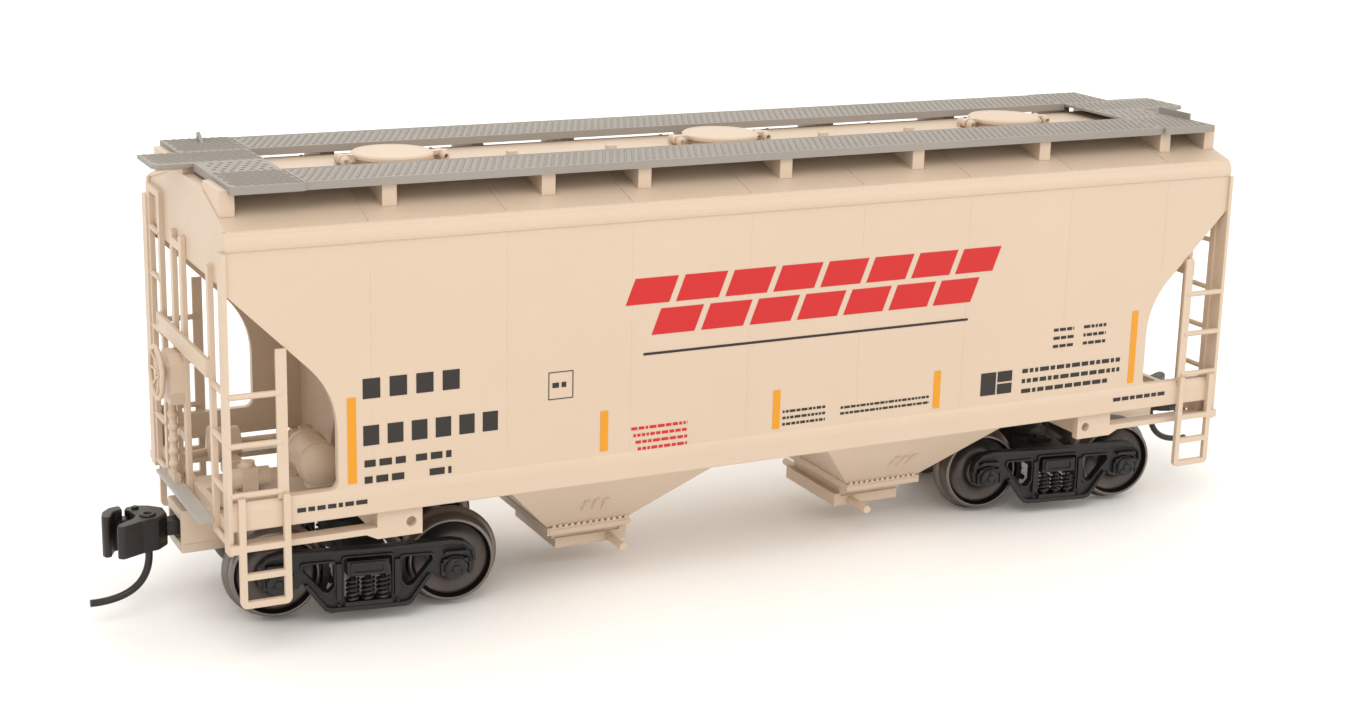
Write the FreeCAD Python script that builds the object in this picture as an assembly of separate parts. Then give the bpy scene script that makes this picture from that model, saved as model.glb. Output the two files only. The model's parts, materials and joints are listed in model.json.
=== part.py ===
"""HO scale (1:87) two-bay covered hopper car, as separate pieces.

Frame: millimetres. X runs along the car, the brake wheel end (B end) at -X and the plain end
(A end) at +X. Y runs across the car, Z is up, and z = 0 is the surface under the wheel flanges.
"""
import FreeCAD, Part
import math
import os
from FreeCAD import Vector

# ---- driving dimensions ----
BODY_END = 67.5        # half length over the side walls
SIDE_Y = 17.7          # outer face of a side wall
WALL = 1.0             # thickness of the moulded walls
SILL_BOTTOM = 15.35
SILL_TOP = 18.6
EAVE_Z = 48.3          # top of the side walls, where the roof sits
DECK_Z = 51.5          # flat hatch deck along the middle of the roof
DECK_Y = 7.5
BULKHEAD_X = 49.5      # upright part of an end sheet
SLOPE_TOP_Z = 42.0     # where the 45 degree slope sheet meets the upper end panel
TRUCK_X = 48.6         # truck centre
TRUCK_TURN = -9.0      # both trucks stand swivelled by this angle, seen from above, in degrees
AXLE_SPREAD = 10.2     # axle to truck centre
AXLE_Z = 5.9
TREAD_R = 5.25
FLANGE_R = 5.9
WHEEL_BACK = 7.2       # back face of a wheel from the car's middle plane
WHEEL_FACE = 10.0
AXLE_TIP = 12.75
COUPLER_Z = 10.6       # coupler centre line
COUPLER_PIVOT_X = 64.3
KNUCKLE_PIVOT = (73.7, -1.75)
KNUCKLE_PIN_R = 0.45
TRIP_PIN_R = 0.45
TRIP_PIN_X = 72.9
TRIP_PIN_Y = 1.0
RUN_GAP = 0.05         # radial running clearance of pins and journals
BAY_X = 21.2           # centre of a discharge bay
GATE_SHAFT_X = 17.5
GATE_SHAFT_Z = 4.0
GATE_SHAFT_R = 0.5
BOARD_TOP = 52.85      # top of the running boards
BOARD_THICK = 0.55
HATCH_X = (-43.0, 0.0, 43.0)
RUNG_Z = (13.5, 19.4, 25.0, 30.5)
HIGH_RUNG_Z = (37.0, 42.6)
END_X = 67.2           # outer face of the upper end panels and end sills
POST_THICK = 0.5       # corner post, along the car
POST_INNER_Y = 16.1
STILE_THICK = 0.6      # uprights on the ends, along the car
INNER_Y = SIDE_Y - WALL            # inner face of a side wall
FLOOR_TOP = SILL_BOTTOM + WALL
BOARD_BOTTOM = BOARD_TOP - BOARD_THICK

X_AXIS = Vector(1, 0, 0)
Y_AXIS = Vector(0, 1, 0)
Z_AXIS = Vector(0, 0, 1)
ORIGIN = Vector(0, 0, 0)


# ---- helpers ----
def box(x0, x1, y0, y1, z0, z1):
    return Part.makeBox(x1 - x0, y1 - y0, z1 - z0, Vector(x0, y0, z0))


def rod(radius, start, end):
    """Cylinder between two points."""
    start, end = Vector(*start), Vector(*end)
    return Part.makeCylinder(radius, (end - start).Length, start, end - start)


def ball(radius, x, y, z):
    return Part.makeSphere(radius, Vector(x, y, z))


def closed_face(points):
    return Part.Face(Part.makePolygon(points + points[:1]))


def plate_xz(outline, y0, y1):
    """Outline of (x, z) points, thick from y0 to y1."""
    return closed_face([Vector(x, y0, z) for x, z in outline]).extrude(Vector(0, y1 - y0, 0))


def plate_yz(outline, x0, x1):
    return closed_face([Vector(x0, y, z) for y, z in outline]).extrude(Vector(x1 - x0, 0, 0))


def plate_xy(outline, z0, z1):
    return closed_face([Vector(x, y, z0) for x, y in outline]).extrude(Vector(0, 0, z1 - z0))


def turned(profile, centre, axis=Y_AXIS):
    """Solid of revolution: profile is (radius, distance along the axis) about centre."""
    across = Z_AXIS if axis != Z_AXIS else X_AXIS
    points = [centre + across * r + axis * d for r, d in profile]
    return closed_face(points).revolve(centre, axis, 360)


def join(shapes):
    shapes = list(shapes)
    whole = shapes[0].multiFuse(shapes[1:]) if len(shapes) > 1 else shapes[0]
    whole = whole.removeSplitter()
    return whole.Solids[0] if len(whole.Solids) == 1 else whole


def group(shapes):
    """Separate solids kept in one node."""
    return Part.makeCompound([solid for shape in shapes for solid in shape.Solids])


def mirror_x(shape):
    return shape.mirror(ORIGIN, X_AXIS)


def mirror_y(shape):
    return shape.mirror(ORIGIN, Y_AXIS)


def turn_half(shape):
    """The same piece at the other end of the car, turned end for end."""
    turned_shape = shape.copy()
    turned_shape.rotate(ORIGIN, Z_AXIS, 180)
    return turned_shape


def both_sides(shape):
    return [shape, mirror_y(shape)]


def roof_z(y):
    """Height of the roof's outer surface at a distance y from the middle."""
    drop = (DECK_Z - EAVE_Z - 0.15) / (SIDE_Y - 0.2 - DECK_Y)
    return DECK_Z - max(0.0, abs(y) - DECK_Y) * drop


# ---- body shell ----
def end_notch():
    """The curved cut-out in a side wall at the +X end, wider than the wall itself."""
    radius = 10.2
    flat_x = 55.6
    slope_offset = 25.9                      # the slope line is z = x - slope_offset
    centre_x = flat_x + radius
    centre_z = flat_x - slope_offset + radius * (1 - math.sqrt(2))
    corner = 0.9
    out_x = BODY_END + 3

    def point(x, z):
        return Vector(x, SIDE_Y + 1, z)

    def on_arc(degrees):
        angle = math.radians(degrees)
        return point(centre_x + radius * math.cos(angle), centre_z + radius * math.sin(angle))

    def on_corner(degrees):
        angle = math.radians(degrees)
        return point(flat_x + corner * (1 + math.cos(angle)), SILL_TOP + corner * (1 + math.sin(angle)))

    edges = [
        Part.LineSegment(point(out_x, out_x - slope_offset), on_arc(135)),
        Part.Arc(on_arc(135), on_arc(157.5), on_arc(180)),
        Part.LineSegment(on_arc(180), on_corner(180)),
        Part.Arc(on_corner(180), on_corner(225), on_corner(270)),
        Part.LineSegment(on_corner(270), point(out_x, SILL_TOP)),
        Part.LineSegment(point(out_x, SILL_TOP), point(out_x, out_x - slope_offset)),
    ]
    wire = Part.Wire([edge.toShape() for edge in edges])
    return Part.Face(wire).extrude(Vector(0, -4, 0))


def side_wall():
    """Far (+Y) side wall: flat panel, rounded sill below and rounded top chord above."""
    panel = box(-BODY_END, BODY_END, INNER_Y, SIDE_Y, SILL_BOTTOM, EAVE_Z)
    sill_y = SIDE_Y + 0.35
    sill = plate_yz([(INNER_Y, SILL_BOTTOM), (sill_y - 0.1, SILL_BOTTOM), (sill_y, SILL_BOTTOM + 0.15),
                     (sill_y, SILL_TOP - 1.0), (sill_y - 0.12, SILL_TOP - 0.45), (SIDE_Y, SILL_TOP),
                     (INNER_Y, SILL_TOP)], -BODY_END, BODY_END)
    chord_y = SIDE_Y + 0.35
    chord = plate_yz([(INNER_Y, EAVE_Z - 2.1), (SIDE_Y, EAVE_Z - 2.1), (chord_y - 0.1, EAVE_Z - 1.9),
                      (chord_y, EAVE_Z - 1.55), (chord_y, EAVE_Z - 1.15), (chord_y - 0.12, EAVE_Z - 0.7),
                      (SIDE_Y - 0.2, EAVE_Z), (INNER_Y, EAVE_Z)], -BODY_END, BODY_END)
    rim = box(-BODY_END, BODY_END, SIDE_Y - 0.2, SIDE_Y + 0.5, EAVE_Z - 0.3, EAVE_Z)
    wall = join([panel.cut(rim), sill, chord])
    notch = end_notch()
    return wall.cut(notch).cut(mirror_x(notch))


def roof_underside():
    """Space below the roof sheet, used to trim the gable of an end sheet."""
    return plate_yz([(-INNER_Y, 0), (INNER_Y, 0), (INNER_Y, EAVE_Z), (DECK_Y, DECK_Z - WALL),
                     (-DECK_Y, DECK_Z - WALL), (-INNER_Y, EAVE_Z)], -BODY_END, BODY_END)


def slope_sheet():
    """End sheet at +X: upper end panel, 45 degree slope sheet and upright bulkhead."""
    outer, inner = END_X, END_X - WALL
    drop = outer - BULKHEAD_X
    lean = WALL * math.tan(math.radians(22.5))
    outline = [(outer, DECK_Z), (outer, SLOPE_TOP_Z), (BULKHEAD_X, SLOPE_TOP_Z - drop),
               (BULKHEAD_X, SILL_BOTTOM), (BULKHEAD_X - WALL, SILL_BOTTOM),
               (BULKHEAD_X - WALL, SLOPE_TOP_Z - drop + lean), (inner, SLOPE_TOP_Z + lean), (inner, DECK_Z)]
    sheet = plate_xz(outline, -INNER_Y, INNER_Y).common(roof_underside())
    stiffener = plate_xz([(BULKHEAD_X, SILL_BOTTOM), (BULKHEAD_X + 1.9, SILL_BOTTOM),
                          (BULKHEAD_X + 0.8, SLOPE_TOP_Z - drop), (BULKHEAD_X, SLOPE_TOP_Z - drop)],
                         -0.5, 0.5)
    return join([sheet, stiffener])


def frustum(bottom, top):
    """Straight-sided solid between two level rectangles, each (x0, x1, half_y, z)."""
    def ring(x0, x1, half_y, z):
        corners = [Vector(x0, -half_y, z), Vector(x1, -half_y, z),
                   Vector(x1, half_y, z), Vector(x0, half_y, z)]
        return Part.makePolygon(corners + corners[:1])
    return Part.makeLoft([ring(*bottom), ring(*top)], True, True)


def hopper_bay():
    """Floor of the +X half of the body, with its tapered discharge bay."""
    top_half, low_half = 13.8, 5.4
    low_z = 6.9
    floor = box(0, BULKHEAD_X - WALL, -INNER_Y, INNER_Y, SILL_BOTTOM, FLOOR_TOP)
    shell = frustum((BAY_X - low_half, BAY_X + low_half, 8.3, low_z),
                    (BAY_X - top_half, BAY_X + top_half, INNER_Y - 0.1, SILL_BOTTOM))
    wall = 0.8
    throat = frustum((BAY_X - low_half + wall, BAY_X + low_half - wall, 8.3 - wall, low_z - 0.01),
                     (BAY_X - top_half + wall, BAY_X + top_half - wall, INNER_Y - 0.1 - wall, SILL_BOTTOM))
    mouth = box(BAY_X - top_half + wall, BAY_X + top_half - wall, wall + 0.1 - INNER_Y, INNER_Y - 0.1 - wall,
                SILL_BOTTOM - 0.01, FLOOR_TOP + 1)
    return join([floor, shell]).cut(join([throat, mouth]))


def outlet_gate():
    """Flange, slide housing and closed gate under the +X bay; the gate opens towards the car's middle."""
    flange = box(BAY_X - 5.5, BAY_X + 5.5, -8.7, 8.7, 5.95, 6.9)
    housing = box(BAY_X - 5.1, BAY_X + 3.9, -6.2, 6.2, 4.6, 5.95)
    tray = box(BAY_X - 6.1, BAY_X + 3.5, -6.45, 6.45, 3.35, 4.65)
    lip = box(BAY_X - 6.1, BAY_X - 5.1, -6.45, 6.45, 4.6, 5.0)
    shaft_hole = rod(GATE_SHAFT_R, (GATE_SHAFT_X, -7, GATE_SHAFT_Z), (GATE_SHAFT_X, 7, GATE_SHAFT_Z))
    return join([flange, housing, tray, lip]).cut(shaft_hole)


def gate_shafts():
    """Operating shafts that turn the gate pinions, one across the car under each bay."""
    shaft = rod(GATE_SHAFT_R, (GATE_SHAFT_X, -10.9, GATE_SHAFT_Z), (GATE_SHAFT_X, 10.9, GATE_SHAFT_Z))
    return group([shaft, mirror_x(shaft)])


# ---- roof ----
LUG_X = 6.05           # hatch lugs from the hatch centre
LUG_Z = 52.15
LUG_PIN_R = 0.26
LUG_Y = 1.15
LUG_R = 0.6
PANEL_HALF = 4.6       # half width of the square roof panel that carries a hatch coaming


def hatch_lugs(x):
    """A pair of ball-ended lugs with a pin hole through both."""
    pair = []
    for y in (-LUG_Y, LUG_Y):
        foot = box(x - 0.4, x + 0.4, y - 0.4, y + 0.4, DECK_Z - 0.1, LUG_Z)
        pair.append(join([ball(LUG_R, x, y, LUG_Z), foot]))
    hole = rod(LUG_PIN_R, (x, -3, LUG_Z), (x, 3, LUG_Z))
    return [lug.cut(hole) for lug in pair]


def roof_panels(sheet):
    """The roof sheet parted at each hatch: two halves of a square coaming panel, a strip outside each."""
    reach, low, high = SIDE_Y + 1, EAVE_Z - 1, LUG_Z + 1
    cells = []
    start = -BODY_END
    for x in HATCH_X:
        cells.append(box(start, x - PANEL_HALF, -reach, reach, low, high))
        cells += both_sides(box(x - PANEL_HALF, x + PANEL_HALF, 0, PANEL_HALF, low, high))
        cells += both_sides(box(x - PANEL_HALF, x + PANEL_HALF, PANEL_HALF, reach, low, high))
        start = x + PANEL_HALF
    cells.append(box(start, BODY_END, -reach, reach, low, high))
    return group([sheet.common(cell) for cell in cells])


def roof():
    """Roof sheet with its flat hatch deck, hatch coamings, hinge lugs and sheet seams."""
    half = BODY_END - 0.2
    edge_y = SIDE_Y - 0.2
    low_z = roof_z(edge_y)
    outer = plate_yz([(-edge_y, EAVE_Z), (edge_y, EAVE_Z), (edge_y, low_z), (DECK_Y, DECK_Z),
                      (-DECK_Y, DECK_Z), (-edge_y, low_z)], -half, half)
    hollow = roof_underside()
    pieces = [outer.cut(hollow)]
    for seam_x in (-51.5, -35.5, -20.0, -4.5, 11.0, 26.5, 42.0, 57.5):
        for side in (-1, 1):
            strip = plate_yz([(side * edge_y, low_z), (side * edge_y, low_z + 0.1), (side * DECK_Y, DECK_Z + 0.1),
                              (side * DECK_Y, DECK_Z)], seam_x - 0.15, seam_x + 0.15)
            pieces.append(strip)
    for x in HATCH_X:
        pieces.append(Part.makeCylinder(4.3, 0.6, Vector(x, 0, DECK_Z)))
        pieces += hatch_lugs(x - LUG_X) + hatch_lugs(x + LUG_X)
    for x in (-28.0, -15.0, 15.0, 28.0):
        pieces.append(box(x - 0.6, x + 0.6, -0.4, 0.4, DECK_Z, DECK_Z + 0.5))
    body = join(pieces)
    for x in HATCH_X:
        body = body.cut(Part.makeCylinder(3.6, 3, Vector(x, 0, DECK_Z - 2)))
    return roof_panels(body)


def hatch_cover(x):
    """Round cover with a turned-down rim, a hinge tongue at -X and a latch tongue at +X."""
    low, top, radius = 52.12, 53.0, 4.8
    disc = turned([(0, low), (4.55, low), (radius, low + 0.15), (radius, top - 0.35), (radius - 0.25, top - 0.15),
                   (radius - 0.6, top - 0.12), (radius - 0.7, top - 0.2), (0, top)], Vector(x, 0, 0), Z_AXIS)
    eye_r = 0.58
    half_width = 0.5
    hinge_x = x - LUG_X
    eye = rod(eye_r, (hinge_x, -half_width, LUG_Z), (hinge_x, half_width, LUG_Z))
    arm = box(hinge_x, x - radius + 0.4, -half_width, half_width, LUG_Z, LUG_Z + eye_r)
    latch = box(x + radius - 0.4, x + LUG_X + 0.7, -half_width, half_width, LUG_Z, LUG_Z + 0.5)
    bore = rod(LUG_PIN_R + RUN_GAP, (hinge_x, -1, LUG_Z), (hinge_x, 1, LUG_Z))
    return join([disc, eye, arm, latch]).cut(bore)


def hatch_hinge_pins():
    reach = LUG_Y + LUG_R
    return group(rod(LUG_PIN_R, (x - LUG_X, -reach, LUG_Z), (x - LUG_X, reach, LUG_Z)) for x in HATCH_X)


BRACKET_X = (-66.3, -48.3, -29.4, -17.3, 1.5, 20.3, 39.5, 58.9, 66.3)
BRACKET_Y = 14.5
BOARD_INNER = 6.7
BOARD_OUTER = 15.1
PLATFORM_INNER_X = 58.0
PLATFORM_OUTER_X = 66.2
LANDING_A = (73.5, 8.0)       # how far out along the car, and across to the far side, each landing reaches
LANDING_B = (70.8, 6.9)


def running_board_brackets():
    """Upright webs between the roof slope and the running boards, nine along each side."""
    inner_y, half_width = DECK_Y + 0.3, 0.85
    outline = [(BRACKET_Y, roof_z(BRACKET_Y)), (BRACKET_Y, BOARD_BOTTOM), (inner_y, BOARD_BOTTOM),
               (inner_y, roof_z(inner_y))]
    webs = []
    for x in BRACKET_X:
        webs += both_sides(plate_yz(outline, x - half_width, x + half_width))
    return group(webs)


def running_board():
    """Far side walkway, between the two roof platforms."""
    return box(-PLATFORM_INNER_X, PLATFORM_INNER_X, BOARD_INNER, BOARD_OUTER, BOARD_BOTTOM, BOARD_TOP)


def roof_platform(outer_x, far_y):
    """Crosswise platform at the +X end of the roof, with its landing out to outer_x and far_y."""
    deck = box(PLATFORM_INNER_X, PLATFORM_OUTER_X, -15.5, 15.5, BOARD_BOTTOM, BOARD_TOP)
    near_y, corner = -0.3, 0.6
    landing = plate_xy([(PLATFORM_OUTER_X, near_y), (outer_x - corner, near_y), (outer_x, near_y + corner),
                        (outer_x, far_y), (PLATFORM_OUTER_X, far_y)], BOARD_BOTTOM, BOARD_TOP)
    return join([deck, landing])


def platform_bracket(outer_x, far_y):
    """Flat bracket under the landing at +X, standing on the roof deck."""
    near_y, back_x, rise = 0.5, 64.2, 0.35
    arm = box(back_x, outer_x - 0.6, near_y, far_y - 0.8, BOARD_BOTTOM - rise, BOARD_BOTTOM)
    foot = box(back_x, BODY_END - 0.2, near_y, 6.1, DECK_Z, BOARD_BOTTOM - rise)
    return join([arm, foot])


# ---- underframe ----
BOLSTER_BOTTOM = 12.4
STUB_TOP = SILL_BOTTOM
STUB_Y = 2.2
BOX_TOP = 13.2         # top of a coupler box, where it meets the stub sill
BOSS_R = 2.6
TRUCK_TOP = 10.0       # top of a truck bolster
KINGPIN_R = 1.15
BOX_FRONT = 69.6
BOX_BACK = 61.4
BOX_HALF = 3.0
BOX_CEILING = 11.95
BOX_POST_R = 1.0
BOX_SCREW_R = 0.55
LID_BOTTOM = 8.1
LID_TOP = 9.15


def jacking_flange():
    """Far side of the +X underframe: jacking tab with its hole, and the low flange out to the corner."""
    tab_bottom, flange_bottom, flange_top = 12.0, 12.65, 13.35
    tab_inner, tab_outer, corner_x = 45.7, 51.0, 66.4
    outline = [(tab_inner, STUB_TOP), (tab_inner, tab_bottom), (tab_outer, tab_bottom),
               (tab_outer + 1.3, flange_bottom), (corner_x, flange_bottom), (corner_x, flange_top),
               (tab_outer, flange_top), (tab_outer, STUB_TOP)]
    web = plate_xz(outline, 16.2, 17.2)
    shelf = box(tab_outer, corner_x, 15.3, 16.2, flange_bottom, flange_top)
    corner = box(corner_x, END_X, 14.5, 17.2, flange_bottom, flange_top)
    hole = rod(0.6, (47.0, 15.0, 13.56), (47.0, 18.0, 13.56))
    return join([web, shelf, corner]).cut(hole)


def end_frame():
    """Underframe at +X: stub sill, body bolster with jacking tabs, side flanges and end sill."""
    sill_back = 66.4
    stub = box(36.0, sill_back, -STUB_Y, STUB_Y, BOX_TOP, STUB_TOP)
    bolster = box(46.2, 51.0, -16.2, 16.2, BOLSTER_BOTTOM, STUB_TOP)
    boss = Part.makeCylinder(BOSS_R, BOLSTER_BOTTOM - TRUCK_TOP - RUN_GAP,
                             Vector(TRUCK_X, 0, TRUCK_TOP + RUN_GAP))
    end_sill = box(sill_back, END_X, -16.3, 16.3, BOX_TOP, STUB_TOP)
    frame = join([stub, bolster, boss, end_sill] + both_sides(jacking_flange()))
    kingpin_hole = rod(KINGPIN_R, (TRUCK_X, 0, TRUCK_TOP - 1), (TRUCK_X, 0, STUB_TOP - 0.8))
    box_screw_hole = rod(BOX_SCREW_R, (COUPLER_PIVOT_X, 0, BOX_TOP - 1), (COUPLER_PIVOT_X, 0, STUB_TOP - 0.6))
    return frame.cut(kingpin_hole).cut(box_screw_hole)


def coupler_box():
    """Draft gear box at +X: open below, with a mouth at the end and a post for the coupler."""
    shell = box(BOX_BACK, BOX_FRONT, -BOX_HALF, BOX_HALF, LID_TOP, BOX_TOP)
    cavity = box(BOX_BACK + 0.6, BOX_FRONT + 1, -2.5, 2.5, LID_TOP - 1, BOX_CEILING)
    post = rod(BOX_POST_R, (COUPLER_PIVOT_X, 0, LID_TOP), (COUPLER_PIVOT_X, 0, BOX_CEILING + 0.1))
    hole = rod(BOX_SCREW_R, (COUPLER_PIVOT_X, 0, LID_TOP - 1), (COUPLER_PIVOT_X, 0, BOX_TOP + 1))
    return join([shell.cut(cavity), post]).cut(hole)


def coupler_box_cover():
    cover = box(BOX_BACK, BOX_FRONT, -BOX_HALF, BOX_HALF, LID_BOTTOM, LID_TOP)
    hole = rod(BOX_SCREW_R, (COUPLER_PIVOT_X, 0, LID_BOTTOM - 1), (COUPLER_PIVOT_X, 0, LID_TOP + 1))
    return cover.cut(hole)


def slotted_screw(x, head_bottom, head_top, tip, shaft_r, head_r):
    """Screw driven up from below, with a slot across its head."""
    head = Part.makeCylinder(head_r, head_top - head_bottom, Vector(x, 0, head_bottom))
    shaft = Part.makeCylinder(shaft_r, tip - head_top, Vector(x, 0, head_top))
    slot = box(x - head_r, x + head_r, -0.15, 0.15, head_bottom, head_bottom + 0.25)
    return join([head, shaft]).cut(slot)


def coupler_box_screws():
    screw = slotted_screw(COUPLER_PIVOT_X, LID_BOTTOM - 0.5, LID_BOTTOM, STUB_TOP - 0.6, BOX_SCREW_R, 1.1)
    return group([screw, mirror_x(screw)])


def truck_screws():
    """Screws that hold the trucks; each truck swivels round its screw."""
    head_bottom, head_top = TRUCK_TOP - 2.2, TRUCK_TOP - 1.3
    screw = slotted_screw(TRUCK_X, head_bottom, head_top, STUB_TOP - 0.8, KINGPIN_R, 2.1)
    return group([screw, mirror_x(screw)])


def steel_weight():
    """Ballast plate on the floor of the body, between the two bulkheads."""
    return box(-34.0, 34.0, -15.5, 15.5, FLOOR_TOP, FLOOR_TOP + 3.0)


# ---- ladders and end details ----
RUNG_R = 0.35
STILE_X = 61.85        # inner stile of a side ladder
LADDER_OUT = SIDE_Y + 0.35
POST_OUT = BODY_END + POST_THICK
POST_BOTTOM = 12.65


def side_ladder():
    """Ladder at the +X, +Y corner: corner post, inner stile, rungs and the hanging step below."""
    post = box(BODY_END, POST_OUT, POST_INNER_Y, LADDER_OUT, POST_BOTTOM, EAVE_Z - 2.1)
    inner = box(STILE_X - 0.6, STILE_X + 0.6, SIDE_Y, LADDER_OUT, SILL_TOP, 35.4)
    rung_y = LADDER_OUT - 0.25
    rungs = [rod(RUNG_R, (STILE_X, rung_y, z), (BODY_END + 0.1, rung_y, z)) for z in RUNG_Z[1:]]
    return join([post, inner] + rungs + hanging_step())


def hanging_step():
    """Stirrup below the sill: two legs, a middle rung and a rounded bottom tread."""
    outer_x, inner_x = 67.0, 61.3
    y0, y1 = LADDER_OUT, LADDER_OUT + 0.6
    bottom, middle_z, upper_z, top = 6.6, 10.2, RUNG_Z[0], SILL_TOP + 0.6
    bar, half_bar = 0.75, 0.35
    frame = box(inner_x, outer_x, y0, y1, bottom, top)
    window = box(inner_x + bar, outer_x - bar, y0 - 1, y1 + 1, bottom + bar, top + 1)
    legs = frame.cut(window)
    foot_corners = [edge for edge in legs.Edges if is_bottom_corner(edge, bottom, inner_x, outer_x)]
    legs = legs.makeFillet(0.7, foot_corners)
    middle = box(inner_x + bar, outer_x - bar, y0, y1, middle_z - half_bar, middle_z + half_bar)
    upper = box(inner_x + bar, outer_x - bar, y0, y1, upper_z - half_bar, upper_z + half_bar)
    tie = box(outer_x - bar, POST_OUT, y0, y1, upper_z - 0.5, upper_z + 0.5)
    link = box(BODY_END, POST_OUT, SIDE_Y, y1, upper_z - 0.5, upper_z + 0.5)
    return [legs, middle, upper, tie, link]


def is_bottom_corner(edge, bottom, inner_x, outer_x):
    """True for the two outer edges across the plate at the foot of a stirrup."""
    first, last = edge.Vertexes[0].Point, edge.Vertexes[-1].Point
    across = abs(first.x - last.x) < 1e-6 and abs(first.z - last.z) < 1e-6
    at_foot = abs(first.z - bottom) < 1e-6
    at_side = min(abs(first.x - inner_x), abs(first.x - outer_x)) < 1e-6
    return across and at_foot and at_side


END_FACE = END_X + STILE_THICK      # outer face of the uprights on the ends


def end_ladder(high):
    """Ladder on the +X end beside the corner post; the high one climbs to the roof."""
    stile_y, half_width, top = 10.9, 0.5, 43.6
    if high:
        top = EAVE_Z - 0.6
    pieces = [box(END_X, END_FACE, stile_y - half_width, stile_y + half_width, BOX_TOP, top)]
    rungs = RUNG_Z
    if high:
        rungs = RUNG_Z + HIGH_RUNG_Z
        pieces.append(box(END_X, END_FACE, 15.2, POST_INNER_Y, BOX_TOP, top))
        pieces.append(box(END_X, END_FACE, stile_y, POST_INNER_Y, top - 0.8, top))
    rung_x = END_X + RUNG_R + 0.02
    pieces += [rod(RUNG_R, (rung_x, stile_y, z), (rung_x, POST_INNER_Y, z)) for z in rungs]
    return join(pieces)


def end_crossbars():
    """Flat bars across the two ends, fixed to the faces of the uprights."""
    bar = box(END_FACE, END_FACE + 0.5, -11.4, 11.4, 31.1, 33.2)
    return group([bar, mirror_x(bar)])


STAND_POSTS_Y = ((4.5, 5.6), (0.35, 1.55))


def brake_stand():
    """Two uprights at the B end that carry the hand brake, standing on the end sill."""
    bottom, top = BOX_TOP, 44.3
    posts = [box(-END_FACE, -END_X, y0, y1, bottom, top) for y0, y1 in STAND_POSTS_Y]
    far_y, near_y = STAND_POSTS_Y[0][1], STAND_POSTS_Y[1][0]
    ties = [box(-END_FACE, -END_X, near_y, far_y, z - 0.5, z + 0.5) for z in (20.5, 43.0)]
    return join(posts + ties)


BRAKE_Y = 3.0
BRAKE_Z = 28.2
HOUSING_FRONT = -(END_FACE + 1.6)
BRAKE_HUB_R = 0.45


def brake_housing():
    """Gear housing behind the hand brake wheel, with the stub shaft that the wheel turns on."""
    half = [(1.9, -3.6), (2.6, -2.0), (2.4, 1.4), (1.2, 2.4)]
    outline = [(BRAKE_Y + y, BRAKE_Z + z) for y, z in half]
    outline += [(BRAKE_Y - y, BRAKE_Z + z) for y, z in reversed(half)]
    shell = plate_yz(outline, HOUSING_FRONT, -END_FACE)
    shaft = rod(BRAKE_HUB_R, (HOUSING_FRONT, BRAKE_Y, BRAKE_Z), (HOUSING_FRONT - 1.2, BRAKE_Y, BRAKE_Z))
    return join([shell, shaft])


def brake_wheel():
    """Spoked hand brake wheel: rim, hub and eight dished spokes."""
    rim_x, hub_x = HOUSING_FRONT - 1.0, HOUSING_FRONT - 0.7
    rim_r, bar_r, spoke_r = 3.0, 0.28, 0.18
    rim = Part.makeTorus(rim_r, bar_r, Vector(rim_x, BRAKE_Y, BRAKE_Z), X_AXIS)
    hub = Part.makeCylinder(0.8, 0.6, Vector(hub_x - 0.3, BRAKE_Y, BRAKE_Z), X_AXIS)
    spokes = []
    for number in range(8):
        angle = math.radians(45 * number)
        foot = (hub_x, BRAKE_Y + 0.6 * math.cos(angle), BRAKE_Z + 0.6 * math.sin(angle))
        tip = (rim_x, BRAKE_Y + rim_r * math.cos(angle), BRAKE_Z + rim_r * math.sin(angle))
        spokes.append(rod(spoke_r, foot, tip))
    bore = rod(BRAKE_HUB_R + RUN_GAP, (hub_x + 1, BRAKE_Y, BRAKE_Z), (hub_x - 2, BRAKE_Y, BRAKE_Z))
    return join([rim, hub] + spokes).cut(bore)


BRAKE_STEP_Z = 14.4


def brake_step():
    """Foot plate across the B end under the brake wheel."""
    return box(-69.65, -END_FACE, -11.2, 8.5, BRAKE_STEP_Z, BRAKE_STEP_Z + 0.4)


# ---- air brake gear on the B end platform ----
TANK_R = 2.4
TANK_X = -54.3
TANK_Z = 18.1


def air_reservoir():
    """Tank lying across the car, on a saddle over the stub sill and an arm from the bolster."""
    end_near, end_far, dome = -7.4, -0.4, 1.1
    arm_y, saddle_y, half_width, half_thick = -6.2, -1.4, 1.6, 0.5
    barrel = rod(TANK_R, (TANK_X, end_near, TANK_Z), (TANK_X, end_far, TANK_Z))
    pieces = [barrel]
    for y, way in ((end_near, -1), (end_far, 1)):
        sphere_r = (TANK_R ** 2 + dome ** 2) / (2 * dome)
        cap = Part.makeSphere(sphere_r, Vector(TANK_X, y + way * (dome - sphere_r), TANK_Z))
        keep = box(TANK_X - 5, TANK_X + 5, min(y, y + way * 2), max(y, y + way * 2), TANK_Z - 5, TANK_Z + 5)
        pieces.append(cap.common(keep))
    for y in (arm_y, saddle_y):
        low_y, high_y = y - half_thick, y + half_thick
        pieces.append(box(TANK_X - half_width, TANK_X + half_width, low_y, high_y, STUB_TOP, TANK_Z - 1.2))
        pieces.append(rod(TANK_R + 0.2, (TANK_X, y - 0.35, TANK_Z), (TANK_X, y + 0.35, TANK_Z)))
    pieces.append(box(TANK_X, -50.0, arm_y - half_thick, arm_y + half_thick, STUB_TOP, STUB_TOP + 0.5))
    return join(pieces)


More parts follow.
